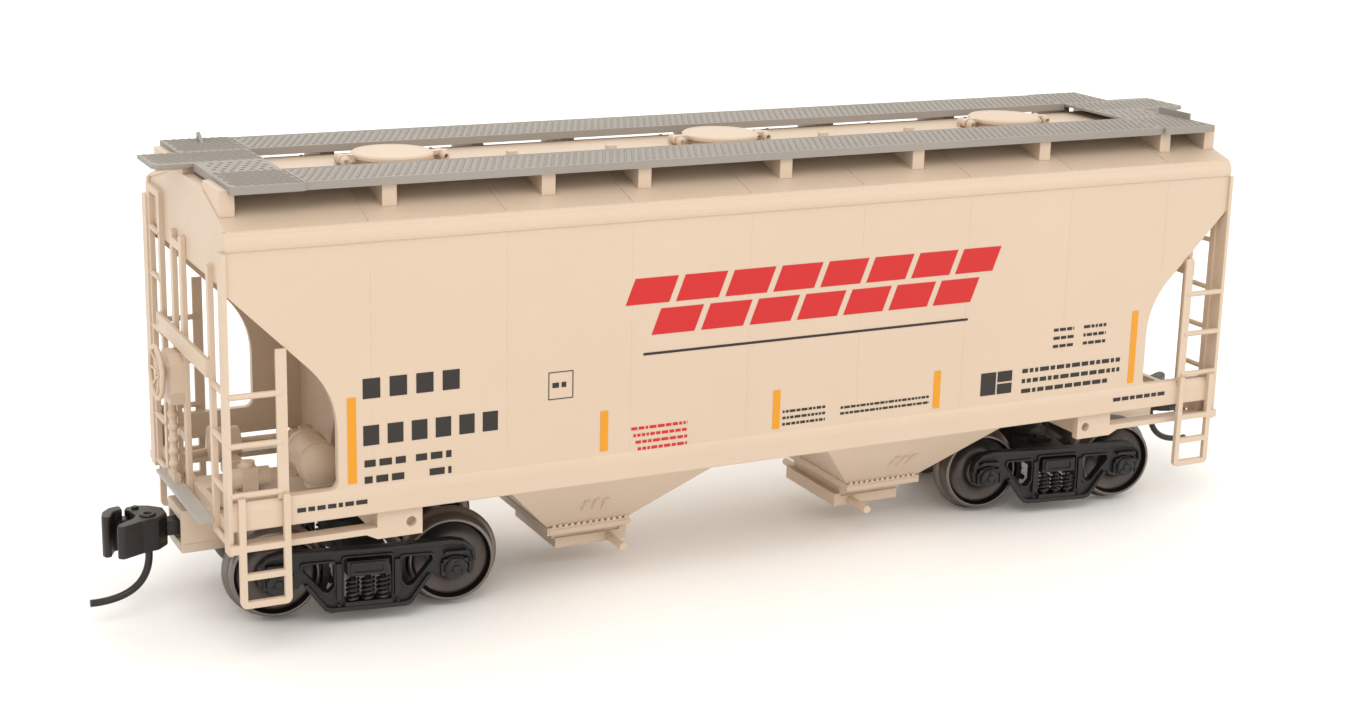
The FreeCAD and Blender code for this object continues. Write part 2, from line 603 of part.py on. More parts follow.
def brake_cylinder():
    """Brake cylinder along the car on the far side of the stub sill, with its push rod."""
    y, z = 6.8, 17.6
    barrel = rod(1.9, (-63.0, y, z), (-60.2, y, z))
    head = rod(2.3, (-63.5, y, z), (-62.7, y, z))
    push_rod = rod(0.4, (-60.2, y, z), (-52.2, y, z))
    clevis = box(-52.6, -51.2, y - 0.6, y + 0.6, z - 0.5, z + 0.5)
    bracket = box(-62.4, -60.8, STUB_Y, y, 14.2, z - 1.0)
    foot = box(-62.4, -60.8, STUB_Y, STUB_Y + 0.5, 14.2, 15.3)
    return join([barrel, head, push_rod, clevis, bracket, foot])


def control_valve():
    """Control valve block on the near side of the stub sill."""
    base = box(-63.4, -60.6, -5.6, -STUB_Y, 14.0, 15.2)
    centre = box(-62.9, -61.1, -5.2, -2.8, 15.2, 18.0)
    service = rod(1.15, (-62.0, -4.0, 16.6), (-64.4, -4.0, 16.6))
    emergency = rod(1.15, (-62.0, -4.0, 16.6), (-59.6, -4.0, 16.6))
    cap = rod(0.8, (-62.0, -4.0, 18.0), (-62.0, -4.0, 18.6))
    return join([base, centre, service, emergency, cap])


def brake_column():
    """Hand brake chain from the gear housing down to a bell crank on the brake step."""
    x, y, bead_r = -(END_FACE + 0.75), BRAKE_Y + 0.7, 0.62
    top, bottom = BRAKE_Z - 3.6, BRAKE_STEP_Z + 0.4
    rod_down = rod(0.45, (x, y, top), (x, y, bottom))
    beads = [ball(bead_r, x, y, bottom + 2.0 + 1.5 * step) for step in range(5)]
    crank = box(x - 0.4, x + 0.4, y - 1.4, y + 1.4, bottom, bottom + 1.0)
    return join([rod_down, crank] + beads)


def platform_brace():
    """Slanted brace over the far side of the end platform, from the end sill to the bolster."""
    z = STUB_TOP + 0.5
    bar = rod(0.5, (-66.2, 8.6, z), (-50.0, 13.0, z))
    foot = box(-END_X, -65.6, 8.0, 9.2, STUB_TOP, z + 0.5)
    heel = box(-50.8, -49.6, 12.4, 13.6, STUB_TOP, z + 0.6)
    return join([bar, foot, heel])


def train_pipe():
    """Air pipe along the near side of the end platform, with a branch to the control valve."""
    y, z = -9.6, STUB_TOP + 0.4
    pipe = rod(0.4, (-END_X, y, z), (-49.5, y, z))
    branch = rod(0.35, (-62.0, -5.7, 14.6), (-62.0, y, z))
    return join([pipe, branch])


def brake_rods():
    return group([brake_column(), platform_brace(), train_pipe()])


# ---- trucks ----
FRAME_IN = 11.0
FRAME_OUT = 12.5
JOURNAL_R = 0.8
SPRING_SEAT = 2.9
SPRING_TOP = 5.7
SPRING_X = (-1.7, 0.0, 1.7)
SPRING_Y = 11.95


def side_frame():
    """Cast side frame about the truck centre, on the +Y side: chords, windows and pedestals."""
    half = [(0, 9.3), (10.4, 9.3), (11.7, 8.7), (12.5, 7.5), (12.6, 6.2), (12.2, 4.9), (11.5, 4.9),
            (8.9, 4.9), (8.3, 5.2), (7.7, 5.6), (6.8, 4.4), (4.7, 1.75), (0, 1.75)]
    outline = half + [(-u, z) for u, z in reversed(half[1:-1])]
    plate = plate_xz(outline, FRAME_IN, FRAME_OUT)
    spring_window = box(-2.8, 2.8, FRAME_IN - 1, FRAME_OUT + 1, SPRING_SEAT, 8.1)
    plate = plate.cut(spring_window)
    for side in (-1, 1):
        window = plate_xz([(side * 3.9, 7.7), (side * 7.3, 7.7), (side * 7.5, 7.2), (side * 5.2, 4.3),
                           (side * 4.6, 4.2), (side * 3.9, 4.9)], FRAME_IN - 1, FRAME_OUT + 1)
        plate = plate.cut(window)
    rim_top = box(-10.2, 10.2, FRAME_OUT, FRAME_OUT + 0.35, 8.6, 9.3)
    rim_low = box(-4.6, 4.6, FRAME_OUT, FRAME_OUT + 0.35, 1.75, 2.45)
    pieces = [plate, rim_top, rim_low]
    for side in (-1, 1):
        x = side * AXLE_SPREAD
        pieces.append(box(x - 1.75, x + 1.75, FRAME_OUT, FRAME_OUT + 0.7, 6.9, 7.9))
        pieces.append(rod(1.55, (x, FRAME_IN - 0.3, AXLE_Z), (x, 13.4, AXLE_Z)))
        pieces.append(plate_xz([(side * 4.7, 1.75), (side * 4.1, 2.3), (side * 7.2, 5.7), (side * 7.8, 5.6)],
                               FRAME_OUT, FRAME_OUT + 0.35))
    return join(pieces)


def truck_frame():
    """One-piece truck moulding at +X: two side frames, the bolster and two brake beams."""
    pieces = both_sides(side_frame())
    bolster = box(-2.5, 2.5, -12.6, 12.6, SPRING_TOP, 7.9)
    top = box(-2.5, 2.5, -10.6, 10.6, 7.9, 8.6)
    centre_plate = Part.makeCylinder(3.4, TRUCK_TOP - 7.9, Vector(0, 0, 7.9))
    tie = [box(-2.8, 2.8, side * 11.75 - 0.75, side * 11.75 + 0.75, 7.7, 8.2) for side in (-1, 1)]
    beams = [box(side * 3.9 - 0.4, side * 3.9 + 0.4, -10.2, 10.2, 4.2, 5.0) for side in (-1, 1)]
    hangers = [box(min(side * 2.4, side * 3.9), max(side * 2.4, side * 3.9), y - 0.5, y + 0.5, 4.6, 6.2)
               for side in (-1, 1) for y in (-5.0, 5.0)]
    whole = join(pieces + [bolster, top, centre_plate] + tie + beams + hangers)
    whole.translate(Vector(TRUCK_X, 0, 0))
    pivot = rod(KINGPIN_R + RUN_GAP, (TRUCK_X, 0, 0), (TRUCK_X, 0, 20))
    recess = rod(2.1 + RUN_GAP, (TRUCK_X, 0, 0), (TRUCK_X, 0, TRUCK_TOP - 1.3 + RUN_GAP))
    whole = whole.cut(pivot).cut(recess)
    for side in (-1, 1):
        for way in (-1, 1):
            whole = whole.cut(journal_cup(TRUCK_X + side * AXLE_SPREAD, way))
    return whole


def journal_cup(x, way):
    """Coned bearing hole for one axle end; way is the side of the car."""
    mouth = WHEEL_FACE + 0.3
    shoulder = AXLE_TIP - JOURNAL_R * math.sqrt(3)
    radius = JOURNAL_R + RUN_GAP
    profile = [(0, way * mouth), (radius, way * mouth), (radius, way * shoulder),
               (0, way * (AXLE_TIP + 2 * RUN_GAP))]
    return turned(profile, Vector(x, 0, AXLE_Z))


def truck_springs():
    """Coil springs in the two side frames, three to a side."""
    pitch = (SPRING_TOP - SPRING_SEAT) / 5
    profile = [(0, SPRING_SEAT)]
    for coil in range(5):
        low = SPRING_SEAT + coil * pitch
        profile += [(0.5, low), (0.76, low + 0.35 * pitch), (0.76, low + 0.65 * pitch)]
    profile += [(0.5, SPRING_TOP), (0, SPRING_TOP)]
    springs = []
    for x in SPRING_X:
        springs += both_sides(turned(profile, Vector(TRUCK_X + x, SPRING_Y, 0), Z_AXIS))
    return group(springs)


def axle(x):
    """Turned axle with needle points."""
    shoulder = AXLE_TIP - JOURNAL_R * math.sqrt(3)
    half = [(0, AXLE_TIP), (JOURNAL_R, shoulder), (JOURNAL_R, WHEEL_FACE + 0.7), (1.2, WHEEL_FACE + 0.4)]
    profile = half + [(r, -y) for r, y in reversed(half)]
    return turned(profile, Vector(x, 0, AXLE_Z))


def wheel_pair(x):
    """Two flanged wheels with dished faces, pressed on one axle."""
    back, face = WHEEL_BACK, WHEEL_FACE
    profile = [(1.2, back - 0.1), (2.3, back - 0.1), (2.6, back + 0.8), (4.2, back + 0.7), (4.45, back),
               (FLANGE_R - 0.6, back), (FLANGE_R - 0.15, back + 0.15), (FLANGE_R, back + 0.35),
               (FLANGE_R - 0.15, back + 0.6), (TREAD_R + 0.15, back + 0.85), (TREAD_R, back + 1.1),
               (TREAD_R - 0.08, face - 0.3), (TREAD_R - 0.25, face), (4.6, face), (4.35, face - 0.75),
               (2.5, face - 1.1), (2.2, face + 0.15), (1.2, face + 0.15)]
    return group(both_sides(turned(profile, Vector(x, 0, AXLE_Z))))


# ---- couplers, drawn for the +X end ----
SHANK_HALF = 1.1


def coupler_head():
    """Shank with its pivot eye, and the head: guard arm at +Y, knuckle lugs at -Y."""
    z0, z1 = COUPLER_Z - 0.85, COUPLER_Z + 0.85
    eye = rod(1.9, (COUPLER_PIVOT_X, 0, z0), (COUPLER_PIVOT_X, 0, z1))
    shank = box(COUPLER_PIVOT_X, 71.6, -SHANK_HALF, SHANK_HALF, z0, z1)
    low, high = 8.7, 12.6
    head = plate_xy([(70.9, -SHANK_HALF), (72.1, -2.5), (73.0, -2.9), (74.5, -2.8), (74.9, -1.9), (74.4, -1.0),
                     (74.2, 0.6), (74.6, 1.2), (76.5, 2.7), (76.9, 3.9), (76.2, 4.1), (73.8, 2.9), (72.1, 2.5),
                     (70.9, SHANK_HALF)], low, high)
    px, py = KNUCKLE_PIVOT
    pocket = plate_xy([(72.3, -1.0), (72.6, -3.4), (76, -3.4), (76, -0.2), (73.2, -0.2)],
                      COUPLER_Z - 1.05, COUPLER_Z + 1.05)
    pin = rod(KNUCKLE_PIN_R, (px, py, low + 0.2), (px, py, high + 0.15))
    bore = rod(BOX_POST_R + RUN_GAP, (COUPLER_PIVOT_X, 0, z0 - 1), (COUPLER_PIVOT_X, 0, z1 + 1))
    socket = rod(TRIP_PIN_R, (TRIP_PIN_X, TRIP_PIN_Y, low - 1), (TRIP_PIN_X, TRIP_PIN_Y, low + 1.2))
    return join([eye, shank, head.cut(pocket), pin]).cut(bore).cut(socket)


def knuckle():
    """Hinged jaw: a tail between the head's lugs and a hooked nose of full height."""
    px, py = KNUCKLE_PIVOT
    z0, z1 = COUPLER_Z - 1.0, COUPLER_Z + 1.0
    boss = rod(0.95, (px, py, z0), (px, py, z1))
    tail = plate_xy([(px, py - 0.9), (75.4, py - 1.0), (76.4, py - 0.3), (76.4, py + 0.9), (75.3, py + 0.75),
                     (px, py + 0.9)], z0, z1)
    nose = plate_xy([(75.25, py - 1.0), (76.6, py - 0.6), (77.6, py + 0.6), (77.95, 0.3), (77.7, 0.9),
                     (77.1, 0.95), (76.75, 0.1), (76.3, py + 0.95), (75.25, py + 0.55)], 8.0, 12.9)
    bore = rod(KNUCKLE_PIN_R + RUN_GAP, (px, py, 0), (px, py, 20))
    return join([boss, tail, nose]).cut(bore)


def trip_pin():
    """Curved uncoupling pin: down from the head, a bend, then a shallow run outwards."""
    bend_r, bend_z, top = 4.6, 7.6, 9.7
    sweep, run = math.radians(84), 2.7

    def on_bend(angle):
        x = TRIP_PIN_X + bend_r * (1 - math.cos(angle))
        return Vector(x, TRIP_PIN_Y, bend_z - bend_r * math.sin(angle))

    start, corner = Vector(TRIP_PIN_X, TRIP_PIN_Y, top), on_bend(0)
    heading = Vector(math.sin(sweep), 0, -math.cos(sweep))
    end = on_bend(sweep) + heading * run
    path = Part.Wire([Part.LineSegment(start, corner).toShape(),
                      Part.Arc(corner, on_bend(sweep / 2), on_bend(sweep)).toShape(),
                      Part.LineSegment(on_bend(sweep), end).toShape()])
    section = Part.Wire([Part.makeCircle(TRIP_PIN_R, start, Z_AXIS)])
    return path.makePipeShell([section], True, True).Solids[0]


def centring_spring():
    """Flat spring under the shank, with two low fingers beside it that push it back to the middle."""
    plate = box(62.3, 68.6, -2.3, 2.3, LID_TOP, LID_TOP + 0.15)
    fingers = [box(62.3, 63.0, side * 2.3 - 0.1, side * 2.3 + 0.1, LID_TOP, LID_TOP + 1.6) for side in (-1, 1)]
    hole = rod(BOX_POST_R, (COUPLER_PIVOT_X, 0, 0), (COUPLER_PIVOT_X, 0, 20))
    return join([plate] + fingers).cut(hole)


# ---- output ----
def save(name, shape):
    shape.exportStep("parts/" + name + ".step")


def save_ends(name, shape, flip=mirror_x):
    """Saves a piece drawn for the +X (A) end and its partner for the -X (B) end."""
    save(name + "_a", shape)
    save(name + "_b", flip(shape))


def build_body():
    wall = side_wall()
    save("side_wall_far", wall)
    save("side_wall_near", mirror_y(wall))
    save_ends("slope_sheet", slope_sheet())
    save_ends("hopper_bay", hopper_bay())
    save_ends("outlet_gate", outlet_gate())
    save("gate_shafts", gate_shafts())
    save("steel_weight", steel_weight())


def build_roof():
    save("roof", roof())
    for number, x in enumerate(HATCH_X, start=1):
        save("hatch_cover_%d" % number, hatch_cover(x))
    save("hatch_hinge_pins", hatch_hinge_pins())
    save("running_board_brackets", running_board_brackets())
    board = running_board()
    save("running_board_far", board)
    save("running_board_near", mirror_y(board))
    save("roof_platform_a", roof_platform(*LANDING_A))
    save("roof_platform_b", mirror_x(roof_platform(*LANDING_B)))
    save("platform_brackets", group([platform_bracket(*LANDING_A), mirror_x(platform_bracket(*LANDING_B))]))


def build_underframe():
    save_ends("end_frame", end_frame())
    save_ends("coupler_box", coupler_box())
    cover = coupler_box_cover()
    save("coupler_box_covers", group([cover, mirror_x(cover)]))
    save("coupler_box_screws", coupler_box_screws())
    save("truck_screws", truck_screws())
    spring = centring_spring()
    save("centring_springs", group([spring, mirror_x(spring)]))


def build_end_details():
    ladder = side_ladder()
    save_ends("side_ladders", group(both_sides(ladder)))
    ladders = group([mirror_y(end_ladder(True)), end_ladder(False)])
    save_ends("end_ladders", ladders, turn_half)
    save("end_crossbars", end_crossbars())
    save("brake_stand", brake_stand())
    save("brake_housing", brake_housing())
    save("brake_wheel", brake_wheel())
    save("brake_step", brake_step())
    save("air_reservoir", air_reservoir())
    save("brake_cylinder", brake_cylinder())
    save("control_valve", control_valve())
    save("brake_rods", brake_rods())


def swivelled(shape):
    """A truck piece turned about the kingpin."""
    shape.rotate(Vector(TRUCK_X, 0, 0), Z_AXIS, TRUCK_TURN)
    return shape


def build_trucks():
    save_ends("truck_frame", swivelled(truck_frame()), turn_half)
    save_ends("truck_springs", swivelled(truck_springs()), turn_half)
    for place, spread in (("outer", AXLE_SPREAD), ("inner", -AXLE_SPREAD)):
        x = TRUCK_X + spread
        save_ends("axle_" + place, swivelled(axle(x)), turn_half)
        save_ends("wheels_" + place, swivelled(wheel_pair(x)), turn_half)


def build_couplers():
    save_ends("coupler_head", coupler_head(), turn_half)
    save_ends("knuckle", knuckle(), turn_half)
    save_ends("trip_pin", trip_pin(), turn_half)


os.makedirs("parts", exist_ok=True)
build_body()
build_roof()
build_underframe()
build_end_details()
build_trucks()
build_couplers()
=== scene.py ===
"""Looks of the two-bay covered hopper car: detailed pieces, materials, light and camera.

Shapes are written in millimetres in the car's own frame (X along the car with the brake wheel end
at -X, Y across with the near side at -Y, Z up) and turned into metres when a piece is made.
"""
import json
import math
import random
import bmesh
import bpy
from mathutils import Matrix, Vector


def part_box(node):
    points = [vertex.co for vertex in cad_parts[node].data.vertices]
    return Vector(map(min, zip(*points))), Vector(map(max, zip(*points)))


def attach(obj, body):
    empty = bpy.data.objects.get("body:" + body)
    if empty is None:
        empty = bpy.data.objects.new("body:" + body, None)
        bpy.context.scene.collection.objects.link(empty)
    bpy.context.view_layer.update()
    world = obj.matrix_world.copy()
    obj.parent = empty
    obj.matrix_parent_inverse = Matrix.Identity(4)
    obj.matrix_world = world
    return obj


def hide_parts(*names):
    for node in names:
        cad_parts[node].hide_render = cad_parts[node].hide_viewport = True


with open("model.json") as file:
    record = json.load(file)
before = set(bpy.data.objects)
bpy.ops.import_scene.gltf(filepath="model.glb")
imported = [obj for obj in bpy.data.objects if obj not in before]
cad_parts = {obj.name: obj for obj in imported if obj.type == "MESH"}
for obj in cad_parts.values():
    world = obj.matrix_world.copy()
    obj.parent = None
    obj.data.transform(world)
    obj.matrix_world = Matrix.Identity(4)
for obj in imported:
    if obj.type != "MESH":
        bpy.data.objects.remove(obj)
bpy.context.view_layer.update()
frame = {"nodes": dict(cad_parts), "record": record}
MM = 0.001
ENDS = (("a", 1), ("b", -1))          # plain end at +X, brake wheel end at -X


def cad_box(node):
    """Lowest and highest corner of a CAD node, in millimetres."""
    low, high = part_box(node)
    return low / MM, high / MM


# ---- shape building ----
class Shape:
    """Points in millimetres and faces, each face with the number of its material."""

    def __init__(self):
        self.points, self.faces, self.slots = [], [], []
        self.slot = 0

    def add(self, points, faces):
        base = len(self.points)
        self.points += [Vector(point) for point in points]
        self.faces += [[base + index for index in face] for face in faces]
        self.slots += [self.slot] * len(faces)

    def merge(self, other, matrix=Matrix.Identity(4)):
        base = len(self.points)
        self.points += [matrix @ point for point in other.points]
        self.faces += [[base + index for index in face] for face in other.faces]
        self.slots += other.slots

    def prism(self, outline, axis, low, high):
        """Outline in the plane across the axis, thick from low to high along it."""
        place = {"x": lambda a, b, t: (t, a, b),
                 "y": lambda a, b, t: (a, t, b),
                 "z": lambda a, b, t: (a, b, t)}[axis]
        count = len(outline)
        points = [place(a, b, t) for t in (low, high) for a, b in outline]
        sides = [[i, (i + 1) % count, (i + 1) % count + count, i + count] for i in range(count)]
        self.add(points, sides + [list(range(count))[::-1], list(range(count, 2 * count))])

    def block(self, x0, x1, y0, y1, z0, z1):
        self.prism([(x0, y0), (x1, y0), (x1, y1), (x0, y1)], "z", z0, z1)

    def tube(self, path, radius, sides=12, closed=False):
        """Round bar along a path of points."""
        path = [Vector(point) for point in path]
        count = len(path)
        tangents = []
        for i in range(count):
            before = path[i - 1] if i or closed else path[0]
            after = path[(i + 1) % count] if i < count - 1 or closed else path[-1]
            tangents.append((after - before).normalized())
        side = tangents[0].orthogonal().normalized()
        rings = []
        for centre, tangent in zip(path, tangents):
            side = (side - tangent * side.dot(tangent)).normalized()
            other = tangent.cross(side)
            for step in range(sides):
                angle = 2 * math.pi * step / sides
                rings.append(centre + (side * math.cos(angle) + other * math.sin(angle)) * radius)
        faces = []
        for i in range(count if closed else count - 1):
            j = (i + 1) % count
            for step in range(sides):
                following = (step + 1) % sides
                faces.append([i * sides + step, i * sides + following,
                              j * sides + following, j * sides + step])
        if not closed:
            faces += [list(range(sides))[::-1], list(range((count - 1) * sides, count * sides))]
        self.add(rings, faces)

    def lathe(self, profile, centre, axis, steps=48):
        """Turned form: profile of (radius, distance along the axis) from centre; ends may lie on the axis."""
        centre, axis = Vector(centre), Vector(axis)
        side = axis.orthogonal().normalized()
        other = axis.cross(side)
        points, rows = [], []
        for radius, distance in profile:
            row = []
            for step in range(steps if radius > 1e-6 else 1):
                angle = 2 * math.pi * step / steps
                row.append(len(points))
                points.append(centre + axis * distance
                              + (side * math.cos(angle) + other * math.sin(angle)) * radius)
            rows.append(row)
        faces = []
        for first, second in zip(rows, rows[1:]):
            for step in range(steps):
                following = (step + 1) % steps
                corners = [first[step % len(first)], first[following % len(first)],
                           second[following % len(second)], second[step % len(second)]]
                face = [corner for i, corner in enumerate(corners) if corner not in corners[:i]]
                if len(face) > 2:
                    faces.append(face)
        self.add(points, faces)

    def plate(self, loops, axis, low, high, edge=0.12):
        """Flat plate with holes and rounded edges: the first loop is its outline, the rest are holes."""
        points, faces = cut_plate(loops, high - low, edge)
        middle = (low + high) / 2
        place = {"y": lambda p: (p.x, middle - p.z, p.y), "x": lambda p: (middle + p.z, p.x, p.y),
                 "z": lambda p: (p.x, p.y, middle + p.z)}[axis]
        self.add([place(point) for point in points], faces)

    def rivets(self, places, axis, radius=0.16):
        """Low domed heads at places, standing out along the axis."""
        profile = [(radius, 0), (radius * 0.85, radius * 0.4),
                   (radius * 0.45, radius * 0.62), (0, radius * 0.7)]
        for place in places:
            self.lathe(profile, place, axis, 8)

    def piece(self, name, body, materials, bevel=0.0, smooth=35):
        """Makes the Blender object, in metres, riding on a body."""
        mesh = bpy.data.meshes.new(name)
        mesh.from_pydata([point * MM for point in self.points], [], self.faces)
        for material in materials:
            mesh.materials.append(material)
        mesh.polygons.foreach_set("material_index", self.slots)
        tidy = bmesh.new()
        tidy.from_mesh(mesh)
        bmesh.ops.recalc_face_normals(tidy, faces=tidy.faces)
        tidy.to_mesh(mesh)
        tidy.free()
        mesh.polygons.foreach_set("use_smooth", [True] * len(mesh.polygons))
        mesh.set_sharp_from_angle(angle=math.radians(smooth))
        piece = bpy.data.objects.new(name, mesh)
        bpy.context.scene.collection.objects.link(piece)
        if bevel:
            soften(piece, bevel)
        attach(piece, body)
        return piece


def cut_plate(loops, thick, edge):
    """Points and faces of a plate with holes, lying on XY and centred on z = 0."""
    curve = bpy.data.curves.new("outline", "CURVE")
    curve.dimensions = "2D"
    curve.fill_mode = "BOTH"
    curve.extrude = thick / 2 - edge
    curve.bevel_depth = edge
    curve.bevel_resolution = 1
    curve.offset = -edge
    for loop in loops:
        spline = curve.splines.new("POLY")
        spline.points.add(len(loop) - 1)
        for point, (x, y) in zip(spline.points, loop):
            point.co = (x, y, 0, 1)
        spline.use_cyclic_u = True
    holder = bpy.data.objects.new("outline", curve)
    bpy.context.scene.collection.objects.link(holder)
    mesh = bpy.data.meshes.new_from_object(holder.evaluated_get(bpy.context.evaluated_depsgraph_get()))
    points = [vertex.co.copy() for vertex in mesh.vertices]
    faces = [list(polygon.vertices) for polygon in mesh.polygons]
    bpy.data.objects.remove(holder)
    bpy.data.curves.remove(curve)
    bpy.data.meshes.remove(mesh)
    return points, faces


def rounded(corners, radius, steps=4):
    """Outline with every corner turned on an arc of about the given radius."""
    outline = []
    count = len(corners)
    for i, corner in enumerate(corners):
        corner = Vector(corner)
        before, after = Vector(corners[i - 1]) - corner, Vector(corners[(i + 1) % count]) - corner
        reach = min(radius / math.tan(before.angle(after) / 2), before.length * 0.45, after.length * 0.45)
        start, end = corner + before.normalized() * reach, corner + after.normalized() * reach
        for step in range(steps + 1):
            t = step / steps
            outline.append(tuple(start * (1 - t) ** 2 + corner * 2 * t * (1 - t) + end * t ** 2))
    return outline


def mirrored(outline):
    """A half outline from the middle line out, completed by its mirror image."""
    return outline + [(-u, v) for u, v in reversed(outline) if abs(u) > 1e-6]


def arc(centre_u, centre_v, radius, start, end, steps=10):
    """Points of an arc in a plane, angles in degrees."""
    angles = [math.radians(start + (end - start) * i / steps) for i in range(steps + 1)]
    return [(centre_u + radius * math.cos(angle), centre_v + radius * math.sin(angle)) for angle in angles]


def soften(piece, width):
    """Rounds the sharp edges of a piece by a width in millimetres."""
    bevel = piece.modifiers.new("bevel", "BEVEL")
    bevel.width = width * MM
    bevel.segments = 2
    bevel.limit_method = "ANGLE"
    bevel.angle_limit = math.radians(40)
    bevel.harden_normals = True


def flip_x(shape):
    other = Shape()
    other.merge(shape, Matrix.Diagonal((-1, 1, 1, 1)))
    return other


def flip_y(shape):
    other = Shape()
    other.merge(shape, Matrix.Diagonal((1, -1, 1, 1)))
    return other


def half_turn(shape):
    other = Shape()
    other.merge(shape, Matrix.Rotation(math.pi, 4, "Z"))
    return other


# ---- materials ----
class Nodes:
    """A material with a Principled shader and short calls to wire procedural detail into it."""

    def __init__(self, name, roughness, metallic=0.0, specular=0.5):
        self.material = bpy.data.materials.new(name)
        self.material.use_nodes = True
        self.tree = self.material.node_tree
        self.shader = self.tree.nodes["Principled BSDF"]
        self.shader.inputs["Roughness"].default_value = roughness
        self.shader.inputs["Metallic"].default_value = metallic
        self.shader.inputs["Specular IOR Level"].default_value = specular
        self.place = self.tree.nodes.new("ShaderNodeTexCoord").outputs["Object"]

    def link(self, source, target):
        self.tree.links.new(source, target)

    def noise(self, scale, detail=3.0, roughness=0.5):
        node = self.tree.nodes.new("ShaderNodeTexNoise")
        node.inputs["Scale"].default_value = scale
        node.inputs["Detail"].default_value = detail
        node.inputs["Roughness"].default_value = roughness
        self.link(self.place, node.inputs["Vector"])
        return node.outputs["Fac"]

    def ramp(self, factor, stops):
        node = self.tree.nodes.new("ShaderNodeValToRGB")
        while len(node.color_ramp.elements) < len(stops):
            node.color_ramp.elements.new(0.5)
        for element, (position, colour) in zip(node.color_ramp.elements, stops):
            element.position = position
            element.color = (*colour, 1)
        self.link(factor, node.inputs["Fac"])
        return node.outputs["Color"]

    def span(self, factor, low, high):
        """Maps a 0 to 1 factor to the range low to high."""
        node = self.tree.nodes.new("ShaderNodeMapRange")
        node.inputs["To Min"].default_value = low
        node.inputs["To Max"].default_value = high
        self.link(factor, node.inputs["Value"])
        return node.outputs["Result"]

    def colour(self, output):
        self.link(output, self.shader.inputs["Base Color"])

    def roughness(self, output):
        self.link(output, self.shader.inputs["Roughness"])

    def bump(self, height, strength, distance):
        """Surface relief; distance in millimetres."""
        node = self.tree.nodes.new("ShaderNodeBump")
        node.inputs["Strength"].default_value = strength
        node.inputs["Distance"].default_value = distance * MM
        self.link(height, node.inputs["Height"])
        self.link(node.outputs["Normal"], self.shader.inputs["Normal"])


def srgb(red, green, blue):
    """Linear colour from 0 to 255 screen values."""
    def linear(value):
        value /= 255
        return value / 12.92 if value <= 0.04045 else ((value + 0.055) / 1.055) ** 2.4
    return linear(red), linear(green), linear(blue)


def shade(colour, factor):
    return tuple(min(1.0, channel * factor) for channel in colour)


def painted(name, colour, roughness, spread=0.04, grain=0.25, scale=900.0):
    """Paint or moulded plastic: a faint drift of tone, fine orange peel and uneven gloss."""
    nodes = Nodes(name, roughness)
    drift = nodes.noise(45.0, 4.0, 0.6)
    nodes.colour(nodes.ramp(drift, [(0.3, shade(colour, 1 - spread)), (0.7, shade(colour, 1 + spread))]))
    nodes.roughness(nodes.span(nodes.noise(260.0, 3.0), roughness - 0.06, roughness + 0.08))
    nodes.bump(nodes.noise(scale, 2.0, 0.55), grain, 0.03)
    return nodes.material


LATHE_MARK_SCALE = (2200.0, 60.0, 2200.0)


def turned_metal(name, colour, roughness, spread=0.18):
    """Machined or blackened metal: fine marks drawn out along Y, and blotches of oxide."""
    nodes = Nodes(name, roughness, metallic=0.85)
    stretch = nodes.tree.nodes.new("ShaderNodeMapping")
    stretch.inputs["Scale"].default_value = LATHE_MARK_SCALE
    nodes.link(nodes.place, stretch.inputs["Vector"])
    marks = nodes.tree.nodes.new("ShaderNodeTexNoise")
    marks.inputs["Scale"].default_value = 1.0
    marks.inputs["Detail"].default_value = 4.0
    nodes.link(stretch.outputs["Vector"], marks.inputs["Vector"])
    blotch = nodes.noise(420.0, 5.0, 0.65)
    nodes.colour(nodes.ramp(blotch, [(0.35, shade(colour, 1 - spread)), (0.65, shade(colour, 1 + spread))]))
    nodes.roughness(nodes.span(marks.outputs["Fac"], roughness - 0.08, roughness + 0.12))
    nodes.bump(marks.outputs["Fac"], 0.25, 0.02)
    return nodes.material


CREAM = srgb(202, 181, 160)
WALKWAY_GREY = srgb(146, 139, 132)
MATERIALS = {
    "body": painted("body_paint", CREAM, 0.42, 0.02),
    "walkway": painted("walkway_grey", WALKWAY_GREY, 0.55, 0.06, 0.35),
    "step": painted("step_grey", srgb(172, 167, 162), 0.5, 0.04),
    "truck": painted("truck_black", srgb(21, 19, 18), 0.46, 0.12, 0.5, 1500.0),
    "spring": painted("spring_black", srgb(23, 20, 18), 0.42, 0.1, 0.4, 1500.0),
    "coupler": painted("coupler_black", srgb(26, 20, 17), 0.42, 0.15, 0.6, 1800.0),
    "yellow": painted("stripe_yellow", srgb(214, 142, 0), 0.42, 0.02),
    "red": painted("mark_red", srgb(190, 12, 12), 0.42, 0.02),
    # Dark paint for printed marks; it also colours the plate of painted shade under the platform drain holes.
    "ink": painted("mark_dark_and_painted_shade", srgb(32, 25, 22), 0.5, 0.05),
    "wheel": turned_metal("wheel_metal", srgb(88, 81, 78), 0.38, 0.1),
    "tread": turned_metal("tread_metal", srgb(122, 115, 111), 0.3, 0.06),
    # Near black for the wheels' hollows: painted shade in the recessed ring on the face and in the dish at
    # the back.
    "hollow": turned_metal("wheel_hollow_painted_shade", srgb(32, 29, 27), 0.5, 0.1),
    "axle": turned_metal("axle_metal", srgb(150, 146, 140), 0.3),
    "screw": turned_metal("screw_steel", srgb(165, 160, 152), 0.32),
    "ballast": turned_metal("ballast_steel", srgb(120, 118, 116), 0.5),
    "bronze": turned_metal("spring_bronze", srgb(176, 132, 72), 0.35),
}


WELD_GAP = 0.002
CAD_EDGE = 0.07


def finish_cad_nodes():
    """Every carried-over CAD node gets its slot's material and softened edges."""
    slots = {entry["node"]: entry["material_slot"] for entry in frame["record"]["subparts"]}
    for name, node in frame["nodes"].items():
        node.data.materials.clear()
        node.data.materials.append(MATERIALS[slots[name]])
        weld = node.modifiers.new("weld", "WELD")
        weld.merge_threshold = WELD_GAP * MM
        soften(node, CAD_EDGE)


